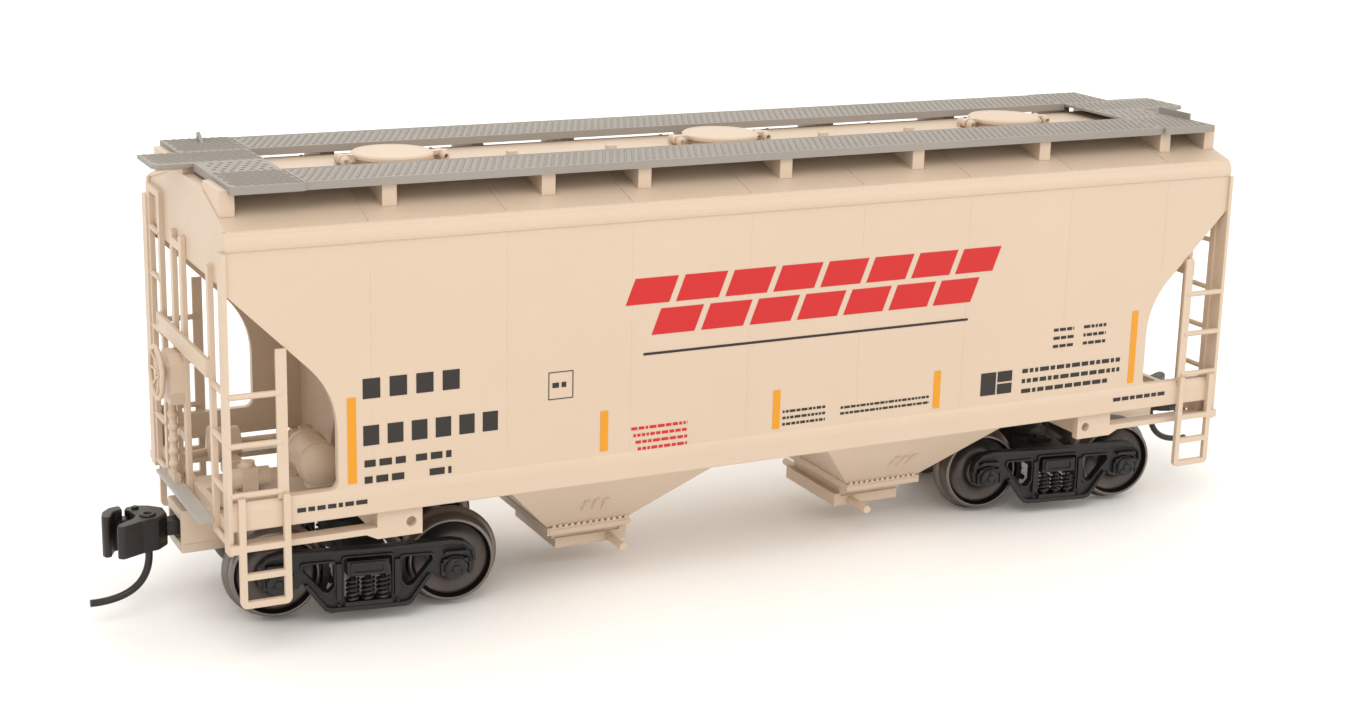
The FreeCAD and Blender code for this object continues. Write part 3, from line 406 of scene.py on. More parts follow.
# ---- roof walkways ----
TREAD_PITCH = (0.92, 1.0)
TREAD_HEIGHT = 0.17
DECK_INSET = 0.05
SKIRT = 0.4                           # how far the turned-down edges hang below a walkway
LANDING_FAR_Y = {"a": 8.0, "b": 6.9}
DECK_DROP = 0.1                       # deck surface below the top of the CAD board
DECK_RISE = 0.12                      # deck underside above the bottom of the CAD board
LIP_HALF = 0.1
LIP_RISE = 0.04
PLATFORM_EDGE_X = 66.2                # outer edge of a platform, without its landing
TOE_BOARD_X = 65.9
TOE_BOARD_Y = (-10.5, -4.1)
TOE_BOARD_HEIGHT = 0.85
FIN_X = (61.9, 62.3)
DRAIN_RADIUS = 0.29
DRAIN_PITCH = (1.1, 1.15)


def staggered(x0, x1, y0, y1, pitch):
    """Centres of a staggered pattern that fills a rectangle."""
    pitch_x, pitch_y = pitch
    columns = int((x1 - x0) / pitch_x)
    rows = int((y1 - y0) / pitch_y)
    start_x = (x0 + x1 - (columns - 0.5) * pitch_x) / 2
    start_y = (y0 + y1 - (rows - 1) * pitch_y) / 2
    for row in range(rows):
        for column in range(columns):
            yield start_x + (column + 0.5 * (row % 2)) * pitch_x, start_y + row * pitch_y


def tread_bumps(shape, x0, x1, y0, y1, z):
    """Raised safety tread: short slanted bars that line up into diagonal rows."""
    lean, reach, foot_half, head_half = 0.2, 0.4, 0.2, 0.09
    for x, y in staggered(x0, x1, y0, y1, TREAD_PITCH):
        points = []
        for half, inset, height in ((foot_half, 0, -0.02), (head_half, 0.1, TREAD_HEIGHT)):
            for way_x, way_y in ((-1, -1), (1, -1), (1, 1), (-1, 1)):
                points.append((x + way_y * lean + way_x * half, y + way_y * (reach - inset), z + height))
        sides = [[i, (i + 1) % 4, (i + 1) % 4 + 4, i + 4] for i in range(4)]
        shape.add(points, sides + [[4, 5, 6, 7], [3, 2, 1, 0]])


def running_boards():
    """Both long walkways, with tread on top and a lip along each edge that hangs below as a skirt."""
    for side in ("far", "near"):
        low, high = cad_box("running_board_" + side)
        top = high.z - DECK_DROP
        shape = Shape()
        shape.block(low.x + DECK_INSET, high.x - DECK_INSET, low.y + DECK_INSET, high.y - DECK_INSET,
                    low.z + DECK_RISE, top)
        for y in (low.y + LIP_HALF, high.y - LIP_HALF):
            shape.block(low.x, high.x, y - LIP_HALF, y + LIP_HALF, low.z - SKIRT, top + LIP_RISE)
        tread_bumps(shape, low.x + 0.2, high.x - 0.2, low.y + 0.25, high.y - 0.25, top)
        piece = shape.piece("walkway_" + side, "car_body", [MATERIALS["walkway"]], smooth=20)
        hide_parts("running_board_" + side)


def platform_deck(low, high, far_y):
    """Crosswise platform at +X: tread over the running boards and landing, a strip pierced by drain holes,
    and under them a dark plate of painted shade.
    """
    inner_x, outer_x, top = low.x, PLATFORM_EDGE_X, high.z - DECK_DROP
    landing_x, board_y, near_y, hole_near_y = high.x, 6.7, -0.3, -6.4
    shape = Shape()
    holes = [arc(x, y, DRAIN_RADIUS, 0, 324, 9)
             for x, y in staggered(inner_x + 0.3, outer_x - 0.6, hole_near_y, near_y, DRAIN_PITCH)]
    deck = [(inner_x + DECK_INSET, low.y + DECK_INSET), (outer_x - DECK_INSET, low.y + DECK_INSET),
            (outer_x - DECK_INSET, high.y - DECK_INSET), (inner_x + DECK_INSET, high.y - DECK_INSET)]
    shape.plate([deck] + holes, "z", low.z + DECK_RISE, top, 0.03)
    landing = [(outer_x - 0.5, near_y), (landing_x - 0.6, near_y), (landing_x, near_y + 0.6),
               (landing_x, far_y), (outer_x - 0.5, far_y)]
    shape.plate([landing], "z", low.z, top + 0.02, 0.05)
    for y0, y1 in ((low.y, -board_y), (board_y, high.y)):
        tread_bumps(shape, inner_x + 0.15, outer_x - 0.35, y0 + 0.3, y1 - 0.1, top)
    tread_bumps(shape, inner_x + 0.15, landing_x - 0.4, near_y + 0.3, board_y, top)
    for y in (low.y + LIP_HALF, high.y - LIP_HALF):
        shape.block(inner_x, outer_x, y - LIP_HALF, y + LIP_HALF, low.z - SKIRT, top + LIP_RISE)
    for y0, y1 in ((low.y + LIP_HALF, near_y), (far_y, high.y - LIP_HALF)):
        shape.block(outer_x - 2 * LIP_HALF, outer_x + 0.02, y0, y1, low.z - SKIRT, top + LIP_RISE)
    # Dark plate just under the drain holes, in the dark mark paint: painted shade for the shadow seen through
    # the holes.
    shape.slot = 1
    shape.block(inner_x + 0.4, outer_x - 0.5, hole_near_y, near_y - 0.1, low.z + 0.06, low.z + 0.16)
    shape.slot = 0
    return shape


def roof_platforms():
    """Both platforms: a small fin stands on the brake end one and a toe board on the other."""
    for end, sign in ENDS:
        low, high = cad_box("roof_platform_" + end)
        if sign < 0:
            low, high = Vector((-high.x, low.y, low.z)), Vector((-low.x, high.y, high.z))
        top = high.z - DECK_DROP
        shape = platform_deck(low, high, LANDING_FAR_Y[end])
        if end == "a":
            shape.block(TOE_BOARD_X, PLATFORM_EDGE_X, *TOE_BOARD_Y, top, top + TOE_BOARD_HEIGHT)
        else:
            shape.prism([(11.6, top - 0.05), (13.9, top - 0.05), (13.7, top + 1.1)], "x", *FIN_X)
        ready = shape if sign > 0 else flip_x(shape)
        # The second paint, the dark mark paint, colours the plate of painted shade under the drain holes.
        paints = [MATERIALS["walkway"], MATERIALS["ink"]]
        piece = ready.piece("platform_" + end, "car_body", paints, smooth=20)
        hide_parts("roof_platform_" + end)


# ---- trucks ----
FRAME_BACK = 11.1
FRAME_FACE = 12.15
FLANGE_FACE = 12.65
AXLE_SPREAD = 10.2
AXLE_Z = 5.9
SPRING_SEAT = 2.9
BOLSTER_LOW = 5.7
BEAM_U = 3.9
BEAM_Z = 4.6
SHOE_RADII = (5.45, 6.15)
SHOE_ANGLES = (75, 118)
SHOE_RIB_RADIUS = 6.2
SIDE_BEARING_Y = 6.9
BOLT_CIRCLE = 0.78
SPRING_Y = 12.1
SPRING_U = (-1.75, 0.0, 1.75)
SPRING_CORE = 0.4


def side_frame_outline():
    """Outline of a cast side frame in (u, z): arched top chord, open pedestals and V-shaped lower chord."""
    half = [(0, 9.15), (5.5, 9.2), (9.8, 9.35), (11.3, 9.0), (12.35, 8.0), (12.6, 6.6), (12.3, 5.0),
            (11.8, 4.8), (11.8, 7.05), (8.6, 7.05), (8.6, 4.9), (8.0, 4.7), (7.75, 5.3), (7.3, 5.3),
            (6.6, 4.4), (4.9, 2.0), (4.2, 1.75), (0, 1.75)]
    return rounded(mirrored(half), 0.5, 3)


def grown(outline, amount):
    """A window outline pushed outwards from its middle."""
    centre = sum((Vector(point) for point in outline), Vector((0, 0))) / len(outline)
    return [tuple(Vector(point) + (Vector(point) - centre).normalized() * amount) for point in outline]


def side_window(side):
    corners = [(3.9, 7.7), (7.4, 7.7), (7.5, 7.1), (5.2, 4.3), (4.5, 4.1), (3.9, 4.9)]
    return rounded([(side * u, z) for u, z in corners], 0.45, 3)


def side_frame():
    """Cast side frame at +Y about the truck centre, with its flanges and window rims."""
    shape = Shape()
    spring_window = rounded([(-2.75, SPRING_SEAT), (2.75, SPRING_SEAT), (2.75, 8.1), (-2.75, 8.1)], 0.4, 3)
    windows = [side_window(-1), side_window(1)]
    shape.plate([side_frame_outline(), spring_window] + windows, "y", FRAME_BACK, FRAME_FACE, 0.14)
    for window in windows + [spring_window]:
        shape.plate([grown(window, 0.36), window], "y", FRAME_FACE - 0.1, FLANGE_FACE - 0.2, 0.1)
    top_flange = mirrored([(0, 9.2), (9.8, 9.4), (11.35, 9.05), (12.4, 8.05), (12.65, 6.6), (12.25, 6.6),
                           (12.0, 7.9), (11.1, 8.6), (9.7, 8.8), (0, 8.65)])
    shape.plate([rounded(top_flange, 0.25, 2)], "y", FRAME_FACE - 0.1, FLANGE_FACE, 0.12)
    low_flange = mirrored([(0, 1.7), (4.3, 1.7), (5.0, 1.95), (7.4, 5.25), (7.0, 5.5), (4.8, 2.5),
                           (4.2, 2.3), (0, 2.3)])
    shape.plate([rounded(low_flange, 0.2, 2)], "y", FRAME_FACE - 0.1, FLANGE_FACE, 0.12)
    shape.block(-2.75, 2.75, FRAME_BACK - 0.3, FLANGE_FACE + 0.15, SPRING_SEAT - 0.5, SPRING_SEAT)
    for side in (-1, 1):
        bearing(shape, side * AXLE_SPREAD)
        heads = [(side * u, FLANGE_FACE - 0.05, z) for u, z in ((3.4, 2.55), (1.6, 2.0))]
        shape.rivets(heads, (0, 1, 0), 0.2)
        shape.block(side * 3.35 - 0.3, side * 3.35 + 0.3, FRAME_FACE, FLANGE_FACE, 3.2, 7.6)
    return shape


def bearing(shape, u):
    """Roller bearing in its pedestal: adapter above, turned housing, end cap with three bolts."""
    adapter = rounded([(u - 1.5, 6.3), (u - 1.5, 7.05), (u + 1.5, 7.05), (u + 1.5, 6.3),
                       (u + 0.9, 6.7), (u - 0.9, 6.7)], 0.15, 2)
    shape.plate([adapter], "y", FRAME_BACK + 0.1, FLANGE_FACE + 0.1, 0.08)
    ledge = [(u - 1.45, 7.7), (u + 1.45, 7.7), (u + 1.2, 8.05), (u - 1.2, 8.05)]
    shape.prism(ledge, "y", FRAME_FACE, FLANGE_FACE + 0.25)
    housing = [(0, 10.9), (1.5, 10.9), (1.5, 12.5), (1.38, 12.62), (1.25, 12.62), (1.25, 12.95), (1.1, 13.1),
               (0.55, 13.12), (0.45, 13.3), (0, 13.32)]
    shape.lathe(housing, (u, 0, AXLE_Z), (0, 1, 0), 32)
    for turn in range(3):
        angle = math.radians(90 + 120 * turn)
        place = (u + BOLT_CIRCLE * math.cos(angle), 13.08, AXLE_Z + BOLT_CIRCLE * math.sin(angle))
        shape.lathe([(0.2, 0), (0.2, 0.16), (0.12, 0.2), (0, 0.2)], place, (0, 1, 0), 6)
    for side in (-1, 1):
        shape.block(u + side * 1.62 - 0.1, u + side * 1.62 + 0.1, FRAME_BACK, FLANGE_FACE, 5.0, 6.6)


def brake_gear(side):
    """Brake beam on one side of the bolster with its hangers, strut and two curved shoes."""
    shape = Shape()
    beam_u, axle_u = side * BEAM_U, side * AXLE_SPREAD
    start, end = (90 + side * angle for angle in SHOE_ANGLES)
    shape.tube([(beam_u, -9.9, BEAM_Z), (beam_u, 9.9, BEAM_Z)], 0.34, 12)
    shape.tube([(beam_u, -7.5, BEAM_Z), (side * 3.2, 0, 4.9), (beam_u, 7.5, BEAM_Z)], 0.24, 8)
    shoe = arc(axle_u, AXLE_Z, SHOE_RADII[0], start, end, 6)
    shoe += arc(axle_u, AXLE_Z, SHOE_RADII[1], end, start, 6)
    for across in (-1, 1):
        low, high = sorted((across * 8.3, across * 9.8))
        shape.prism(shoe, "y", low, high)
        for rib in range(4):
            angle = math.radians(90 + side * (80 + 11 * rib))
            u = axle_u + SHOE_RIB_RADIUS * math.cos(angle)
            z = AXLE_Z + SHOE_RIB_RADIUS * math.sin(angle)
            shape.tube([(u, low + 0.15, z), (u, high - 0.15, z)], 0.16, 6)
        shape.tube([(beam_u, across * 5.0, BEAM_Z), (side * 2.3, across * 5.0, 6.2)], 0.28, 8)
    return shape


def bolster():
    """Bolster across the truck: tapered box, side bearings and the turned centre plate."""
    shape = Shape()
    half = [(0, BOLSTER_LOW), (10.9, BOLSTER_LOW), (12.75, 6.0), (12.75, 7.8), (10.6, 7.95), (8.4, 8.6),
            (0, 8.6)]
    shape.prism(mirrored(half), "x", -2.4, 2.4)
    plate = [(1.25, 5.9), (1.25, 9.95), (3.15, 9.95), (3.3, 9.8), (3.3, 9.2), (3.9, 8.5), (3.9, 5.9),
             (1.25, 5.9)]
    shape.lathe(plate, (0, 0, 0), (0, 0, 1), 40)
    for across in (-1, 1):
        bearing_y = across * SIDE_BEARING_Y
        shape.block(-1.3, 1.3, bearing_y - 0.8, bearing_y + 0.8, 8.4, 9.1)
        shape.lathe([(0.45, 0), (0.45, 1.7), (0.3, 1.8), (0, 1.8)], (-0.9, bearing_y, 8.95), (1, 0, 0), 12)
        face = across * 12.72
        rim = [rounded([(-2.1, 6.15), (2.1, 6.15), (2.1, 7.65), (-2.1, 7.65)], 0.3, 2)]
        low, high = sorted((face, face + across * 0.22))
        shape.plate(rim + [rounded([(-1.7, 6.45), (1.7, 6.45), (1.7, 7.35), (-1.7, 7.35)], 0.25, 2)],
                    "y", low, high, 0.06)
    return shape


def truck_place(end):
    """From a truck's own axes, with the outer axle at +X, to where it stands under the car."""
    joints = {joint["name"]: joint for joint in frame["record"]["behaviour"]["joints"]}
    axle = joints["wheels_outer_%s_spin" % end]["axis"]
    turn = math.atan2(-axle[0], axle[1]) + (math.pi if end == "b" else 0)
    low, high = cad_box("truck_frame_" + end)
    return Matrix.Translation(((low.x + high.x) / 2, 0, 0)) @ Matrix.Rotation(turn, 4, "Z")


def truck_pieces():
    """The black truck moulding, its coil springs in the windows, and both brake beams."""
    side = side_frame()
    moulding = Shape()
    for part in (side, flip_y(side), bolster(), brake_gear(1), brake_gear(-1)):
        moulding.merge(part)
    springs = coil_springs()
    for end, _ in ENDS:
        for source, name, node, slot in ((moulding, "truck_", "truck_frame_", "truck"),
                                         (springs, "coil_springs_", "truck_springs_", "spring")):
            shape = Shape()
            shape.merge(source, truck_place(end))
            edge = 0.05 if slot == "truck" else 0
            piece = shape.piece(name + end, "truck_" + end, [MATERIALS[slot]], bevel=edge)
            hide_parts(node + end)


def coil_springs():
    """Three wound coils in each side frame between the spring seat and the bolster, with solid cores."""
    shape = Shape()
    radius, wire, turns, steps = 0.66, 0.17, 4.5, 14
    room = BOLSTER_LOW - SPRING_SEAT
    height = room - 2 * wire
    core = [(0, 0), (SPRING_CORE, 0), (SPRING_CORE, room), (0, room)]
    for y in (-SPRING_Y, SPRING_Y):
        for u in SPRING_U:
            path = []
            for step in range(int(turns * steps) + 1):
                angle = 2 * math.pi * step / steps
                path.append((u + radius * math.cos(angle), y + radius * math.sin(angle),
                             SPRING_SEAT + wire + height * step / (turns * steps)))
            shape.tube(path, wire, 7)
            shape.lathe(core, (u, y, SPRING_SEAT), (0, 0, 1), 12)
    return shape


# ---- wheels ----
def wheel(shape, x, side):
    """One flanged wheel: bright tread and flange, dark turned plate and hub, and hollows near black with
    painted shade.
    """
    tread_r, flange_r, back, face = 5.25, 5.9, 7.2, 10.0
    # Profile rows: radius, distance along the axle, and the slot of the span that ends there (0 tread, 1
    # plate, 2 hollow in painted shade).
    profile = [(1.2, back - 0.1, 1), (2.2, back - 0.1, 1), (2.45, back + 0.15, 2), (2.6, back + 0.75, 2),
               (4.1, back + 0.65, 2), (4.4, back + 0.1, 1), (4.5, back, 1), (flange_r - 0.5, back, 0),
               (flange_r - 0.18, back + 0.08, 0), (flange_r - 0.03, back + 0.25, 0),
               (flange_r, back + 0.4, 0), (flange_r - 0.08, back + 0.58, 0),
               (tread_r + 0.25, back + 0.78, 0), (tread_r + 0.06, back + 0.98, 0),
               (tread_r, back + 1.25, 0), (tread_r - 0.08, face - 0.35, 0), (tread_r - 0.2, face - 0.08, 0),
               (tread_r - 0.35, face, 0), (4.72, face, 0), (4.6, face - 0.1, 2), (4.42, face - 0.75, 2),
               (4.2, face - 0.95, 1), (3.3, face - 1.12, 1), (2.6, face - 1.0, 1), (2.25, face - 0.65, 1),
               (2.15, face - 0.05, 1), (2.0, face + 0.12, 1), (1.35, face + 0.15, 1), (1.2, face + 0.15, 1)]
    start = len(shape.faces)
    steps = 72
    shape.lathe([(radius, side * y) for radius, y, _ in profile], (x, 0, AXLE_Z), (0, 1, 0), steps)
    for segment in range(len(profile) - 1):
        slot = profile[segment + 1][2]
        for face_index in range(start + segment * steps, start + (segment + 1) * steps):
            shape.slots[face_index] = slot


def wheelsets():
    """The eight wheels, each pair riding with its axle."""
    for end, _ in ENDS:
        for place, x in (("outer", AXLE_SPREAD), ("inner", -AXLE_SPREAD)):
            pair = Shape()
            for side in (-1, 1):
                wheel(pair, x, side)
            shape = Shape()
            shape.merge(pair, truck_place(end))
            piece = shape.piece("wheel_pair_%s_%s" % (place, end), "wheelset_%s_%s" % (place, end),
                                [MATERIALS["tread"], MATERIALS["wheel"], MATERIALS["hollow"]], smooth=50)
            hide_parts("wheels_%s_%s" % (place, end))


# ---- couplers, drawn for the +X end ----
COUPLER_Z = 10.6
KNUCKLE_PIVOT = (73.7, -1.75)
TRIP_X = 72.9
TRIP_Y = 1.0


def coupler_head_shape():
    """Knuckle coupler head: shank, rounded body, guard arm at +Y and knuckle lugs at -Y."""
    low, high = 8.7, 12.6
    pivot_x, pivot_y = KNUCKLE_PIVOT
    shape = Shape()
    shape.plate([rounded([(62.8, -1.1), (71.6, -1.1), (71.6, 1.1), (62.8, 1.1)], 0.5, 3)], "z",
                COUPLER_Z - 0.85, COUPLER_Z + 0.85, 0.15)
    body = [(70.7, -1.1), (72.0, -2.4), (73.2, -2.9), (74.5, -2.8), (74.95, -1.9), (74.45, -1.0), (74.2, 0.5),
            (74.7, 1.4), (76.5, 2.6), (77.0, 3.7), (76.3, 4.15), (73.9, 3.0), (72.0, 2.5), (70.7, 1.1)]
    lugs_low, lugs_high = COUPLER_Z - 1.05, COUPLER_Z + 1.05
    outline = rounded(body, 0.55, 4)
    shape.plate([outline], "z", low, lugs_low, 0.22)
    shape.plate([outline], "z", lugs_high, high, 0.22)
    throat = [(70.7, -1.1), (72.1, -1.6), (73.0, -0.5), (74.2, 0.5), (74.7, 1.4), (76.5, 2.6),
              (77.0, 3.7), (76.3, 4.15), (73.9, 3.0), (72.0, 2.5), (70.7, 1.1)]
    shape.plate([rounded(throat, 0.45, 4)], "z", lugs_low - 0.3, lugs_high + 0.3, 0.1)
    rim = [(0.5, 0), (0.95, 0), (0.95, 0.2), (0.8, 0.35), (0.5, 0.35), (0.4, 0.2), (0.4, 0)]
    shape.lathe(rim, (TRIP_X, TRIP_Y, high - 0.1), (0, 0, 1), 24)
    pin_head = [(0.42, 0), (0.42, 0.25), (0.3, 0.35), (0, 0.35)]
    shape.lathe(pin_head, (pivot_x, pivot_y, high - 0.05), (0, 0, 1), 16)
    shape.tube([(71.3, 0, low - 0.02), (72.6, 0, low - 0.25), (74.0, 1.2, low - 0.02)], 0.4, 8)
    return shape


def knuckle_shape():
    """Hinged jaw: boss round its pin, tail between the lugs, and a tall hooked nose."""
    px, py = KNUCKLE_PIVOT
    shape = Shape()
    boss = [(0.5, -1.0), (0.95, -1.0), (0.95, 1.0), (0.5, 1.0), (0.5, -1.0)]
    shape.lathe(boss, (px, py, COUPLER_Z), (0, 0, 1), 24)
    tail = [(px, py - 0.85), (75.4, py - 1.0), (76.4, py - 0.3), (76.4, py + 0.9), (75.3, py + 0.7),
            (px + 0.6, py + 0.8)]
    shape.plate([rounded(tail, 0.3, 3)], "z", COUPLER_Z - 0.98, COUPLER_Z + 0.98, 0.1)
    nose = [(75.25, py - 1.0), (76.6, py - 0.65), (77.55, py + 0.5), (77.95, 0.3), (77.75, 0.95),
            (77.05, 0.95), (76.75, 0.1), (76.3, py + 0.95), (75.25, py + 0.55)]
    shape.plate([rounded(nose, 0.4, 4)], "z", 8.0, 12.9, 0.2)
    return shape


def trip_pin_shape():
    """Uncoupling pin: a round wire in one long curve from the head out over the rails."""
    low, high = cad_box("trip_pin_a")
    end_x, end_z, top = high.x - 0.05, low.z + 0.45, high.z - 0.3
    start = Vector((TRIP_X, TRIP_Y, 7.7))
    corner = Vector((TRIP_X + 0.3, TRIP_Y, end_z - 0.1))
    end = Vector((end_x, TRIP_Y, end_z + 0.15))
    path = [Vector((TRIP_X, TRIP_Y, top))]
    steps = 22
    for step in range(steps + 1):
        t = step / steps
        path.append(start * (1 - t) ** 2 + corner * 2 * t * (1 - t) + end * t ** 2)
    shape = Shape()
    shape.tube(path, 0.43, 16)
    return shape


def couplers():
    sources = (("head", coupler_head_shape(), "coupler_head_", "coupler_"),
               ("jaw", knuckle_shape(), "knuckle_", "knuckle_"),
               ("trip_wire", trip_pin_shape(), "trip_pin_", "coupler_"))
    for end, sign in ENDS:
        for name, source, node, body in sources:
            shape = source if sign > 0 else half_turn(source)
            piece = shape.piece("coupler_%s_%s" % (name, end), body + end, [MATERIALS["coupler"]])
            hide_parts(node + end)


# ---- body details ----
SEAM_X = (-51.5, -35.5, -20.0, -4.5, 11.0, 26.5, 42.0, 57.5)
SEAM_HALF = 0.16
WALL_INSET = 0.35                     # the wall's flat face lies this far inside its outermost edge
SUNK = 0.02                           # how far rivets stand inside the face that they sit on
SILL_RIVET_Z = 14.3
SILL_RIVET_Y = (-14, -9, -6, 6.5, 8.5, 14)
TOOTH_COUNT = 13
TOOTH_PITCH = 0.8
TOOTH_HALF = 0.22
RIB_COUNT = 3
RIB_PITCH = 1.3
FLANGE_BOLT_COUNT = 11
FLANGE_BOLT_PITCH = 1.52


def wall_seams():
    """Faint upright sheet joints on both side walls."""
    _, high = cad_box("side_wall_far")
    face = high.y - WALL_INSET
    shape = Shape()
    for x in SEAM_X:
        lowest = 19.0 if abs(x) < 55 else 34.0
        shape.block(x - SEAM_HALF, x + SEAM_HALF, face - 0.05, face + 0.02, lowest, high.z - 2.4)
    for side in (-1, 1):
        ready = shape if side > 0 else flip_y(shape)
        piece = ready.piece("wall_seams_" + ("far" if side > 0 else "near"), "car_body", [MATERIALS["body"]])


def bay_details():
    """Bolts and teeth along the outlet flanges, and short ribs on each bay side."""
    low, high = cad_box("outlet_gate_a")
    middle = (low.x + high.x) / 2 + 0.1
    shape = Shape()
    for i in range(TOOTH_COUNT):
        x = middle - 4.8 + TOOTH_PITCH * i
        shape.block(x - TOOTH_HALF, x + TOOTH_HALF, 8.2, 8.74, 6.85, 7.25)
    for i in range(RIB_COUNT):
        x = middle + RIB_PITCH * i - 0.6
        shape.tube([(x, 10.85, 9.65), (x + 0.3, 12.85, 11.55)], 0.34, 10)
    shape.block(middle - 5.45, middle + 5.45, 8.62, 8.78, 6.2, 6.65)
    both = Shape()
    both.merge(shape)
    both.merge(flip_y(shape))
    for side in (-1, 1):
        places = [(middle + side * 5.72, -7.6 + FLANGE_BOLT_PITCH * i, 7.25)
                  for i in range(FLANGE_BOLT_COUNT)]
        both.rivets(places, (side * 0.75, 0, -0.66), 0.2)
    for end, sign in ENDS:
        ready = both if sign > 0 else flip_x(both)
        piece = ready.piece("bay_details_" + end, "car_body", [MATERIALS["body"]])


def end_details():
    """Bolt heads on the brake housing, the end sills and the crossbars' fixings."""
    low, high = cad_box("brake_housing")
    shape = Shape()
    middle_y = (low.y + high.y) / 2
    for y in (-1.9, 1.9):
        for z in (low.z + 0.9, high.z - 1.2):
            shape.rivets([(low.x + 1.21, middle_y + y, z)], (-1, 0, 0), 0.28)
    bar_low, bar_high = cad_box("end_crossbars")
    middle_z = (bar_low.z + bar_high.z) / 2
    _, sill_high = cad_box("end_frame_a")
    for sign in (-1, 1):
        face = sign * (bar_high.x - SUNK)
        for y in (bar_low.y + 0.6, bar_high.y - 0.6):
            shape.rivets([(face, y, middle_z)], (sign, 0, 0), 0.3)
        sill_face = sign * (sill_high.x - SUNK)
        shape.rivets([(sill_face, y, SILL_RIVET_Z) for y in SILL_RIVET_Y], (sign, 0, 0), 0.25)
    piece = shape.piece("end_rivets", "car_body", [MATERIALS["body"]])


# ---- painted marks: plain bands and rows of dashes, no lettering ----
MARK = 0.045


class Marks:
    """Thin raised paint on the near side, drawn in (x, z) on a face at a given y."""

    def __init__(self):
        self.shape = Shape()
        self.random = random.Random(11)

    def patch(self, corners, slot, face):
        self.shape.slot = slot
        self.shape.prism(corners, "y", face - MARK, face + MARK)

    def bar(self, x0, x1, z0, z1, slot, face):
        self.patch([(x0, z0), (x1, z0), (x1, z1), (x0, z1)], slot, face)

    def dashes(self, x0, x1, z, height, slot, face):
        """A row of short dashes of uneven length, standing for a line of small print."""
        x = x0
        while x < x1:
            length = min(self.random.uniform(0.8, 2.6) * height, x1 - x)
            self.bar(x, x + length, z, z + height, slot, face)
            x += length + height * 0.55

    def blocks(self, x0, x1, count, z, height, slot, face):
        """Evenly spaced plain blocks, standing for large characters."""
        pitch = (x1 - x0) / (count - 0.35)
        for number in range(count):
            x = x0 + number * pitch
            self.bar(x, x + pitch * 0.65, z, z + height, slot, face)


YELLOW, RED, INK = 0, 1, 2
STRIPES = ((-54.0, 29.0), (-23.5, 24.0), (-0.5, 24.0), (22.7, 24.0), (53.5, 29.0))
STRIPE_HALF = 0.5
STRIPE_FOOT = 19.1
LARGE_ROWS = ((-52.7, -41.4, 4, 28.7), (-52.7, -36.8, 6, 23.3))      # x0, x1, count of blocks, z
LARGE_HEIGHT = 2.3
DATA_ROWS = ((-52.6, -47.8, 20.8), (-46.6, -42.4, 20.8),              # x0, x1, z
             (-52.6, -48.0, 18.9), (-45.0, -42.4, 18.9))
DATA_HEIGHT = 0.8
SILL_ROWS = ((-60.4, -52.4, 16.7), (50.6, 59.2, 16.9))
SILL_DASH_HEIGHT = 0.5


def side_marks():
    """Marks as seen on the near side; the far side carries the same ones turned end for end."""
    low, _ = cad_box("side_wall_near")
    wall, sill = low.y + WALL_INSET, low.y
    marks = Marks()
    for x, top in STRIPES:
        marks.bar(x - STRIPE_HALF, x + STRIPE_HALF, STRIPE_FOOT, top, YELLOW, wall)
    emblem(marks, wall)
    large_rows(marks, wall)
    placard(marks, wall)
    small_rows(marks, wall)
    tablet(marks, wall)
    right_rows(marks, wall)
    for x0, x1, z in SILL_ROWS:
        marks.dashes(x0, x1, z, SILL_DASH_HEIGHT, INK, sill)
    return marks.shape


def large_rows(marks, face):
    """Two rows of large blocks at the brake end, with four short rows of dashes below them."""
    for x0, x1, count, z in LARGE_ROWS:
        marks.blocks(x0, x1, count, z, LARGE_HEIGHT, INK, face)
    for x0, x1, z in DATA_ROWS:
        marks.dashes(x0, x1, z, DATA_HEIGHT, INK, face)


def placard(marks, face):
    """Thin square frame with one short row of dashes in it."""
    left, right, foot, head, line = -30.6, -27.5, 26.1, 29.4, 0.1
    for z0, z1 in ((head - line, head), (foot, foot + line)):
        marks.bar(left, right, z0, z1, INK, face)
    for x in (left, right - line):
        marks.bar(x, x + line, foot, head, INK, face)
    marks.dashes(left + 0.5, right - 0.6, 27.5, 0.6, INK, face)


def small_rows(marks, face):
    """Three groups of fine rows low on the wall; the first is red and steps in from row to row."""
    for row in range(4):
        marks.dashes(-20.0 + 0.3 * row, -12.6, 21.2 - 0.85 * row, 0.35, RED, face)
    for row in range(3):
        marks.dashes(0.4, 6.4, 21.0 - 0.8 * row, 0.32, INK, face)
    for row in range(2):
        marks.dashes(8.6, 21.6, 20.6 - 0.75 * row, 0.3, INK, face)


def tablet(marks, face):
    """One tall panel and two half panels beside it."""
    foot, head = 19.9, 22.9
    marks.bar(29.4, 31.7, foot, head, INK, face)
    for z0, z1 in ((21.5, head), (foot, 21.25)):
        marks.bar(31.95, 34.2, z0, z1, INK, face)


def right_rows(marks, face):
    """Three long rows by the plain end, the last one shorter, and two short groups above them."""
    for row in range(3):
        marks.dashes(35.8, 51.6 - 2.0 * (row == 2), 22.3 - 1.35 * row, 0.55, INK, face)
        for x0, x1 in ((40.4, 43.6), (45.2, 48.8)):
            marks.dashes(x0, x1, 27.4 - 1.1 * row, 0.4, INK, face)


def emblem(marks, face):
    """Plain red chequer of slanted blocks in two rows over a thin dark rule."""
    lean, width, height, gap = 1.2, 5.6, 3.1, 0.9
    for z, count, start in ((36.4, 8, -21.0), (32.6, 7, -17.6)):
        for number in range(count):
            x = start + number * (width + gap)
            corners = [(x, z), (x + width, z), (x + width + lean, z + height), (x + lean, z + height)]
            marks.patch(corners, RED, face)
    marks.bar(-18.6, 26.8, 30.2, 30.5, INK, face)


def painted_marks():
    paints = [MATERIALS["yellow"], MATERIALS["red"], MATERIALS["ink"]]
    near = side_marks()
    for name, shape in (("near", near), ("far", half_turn(near))):
        piece = shape.piece("marks_" + name, "car_body", paints)


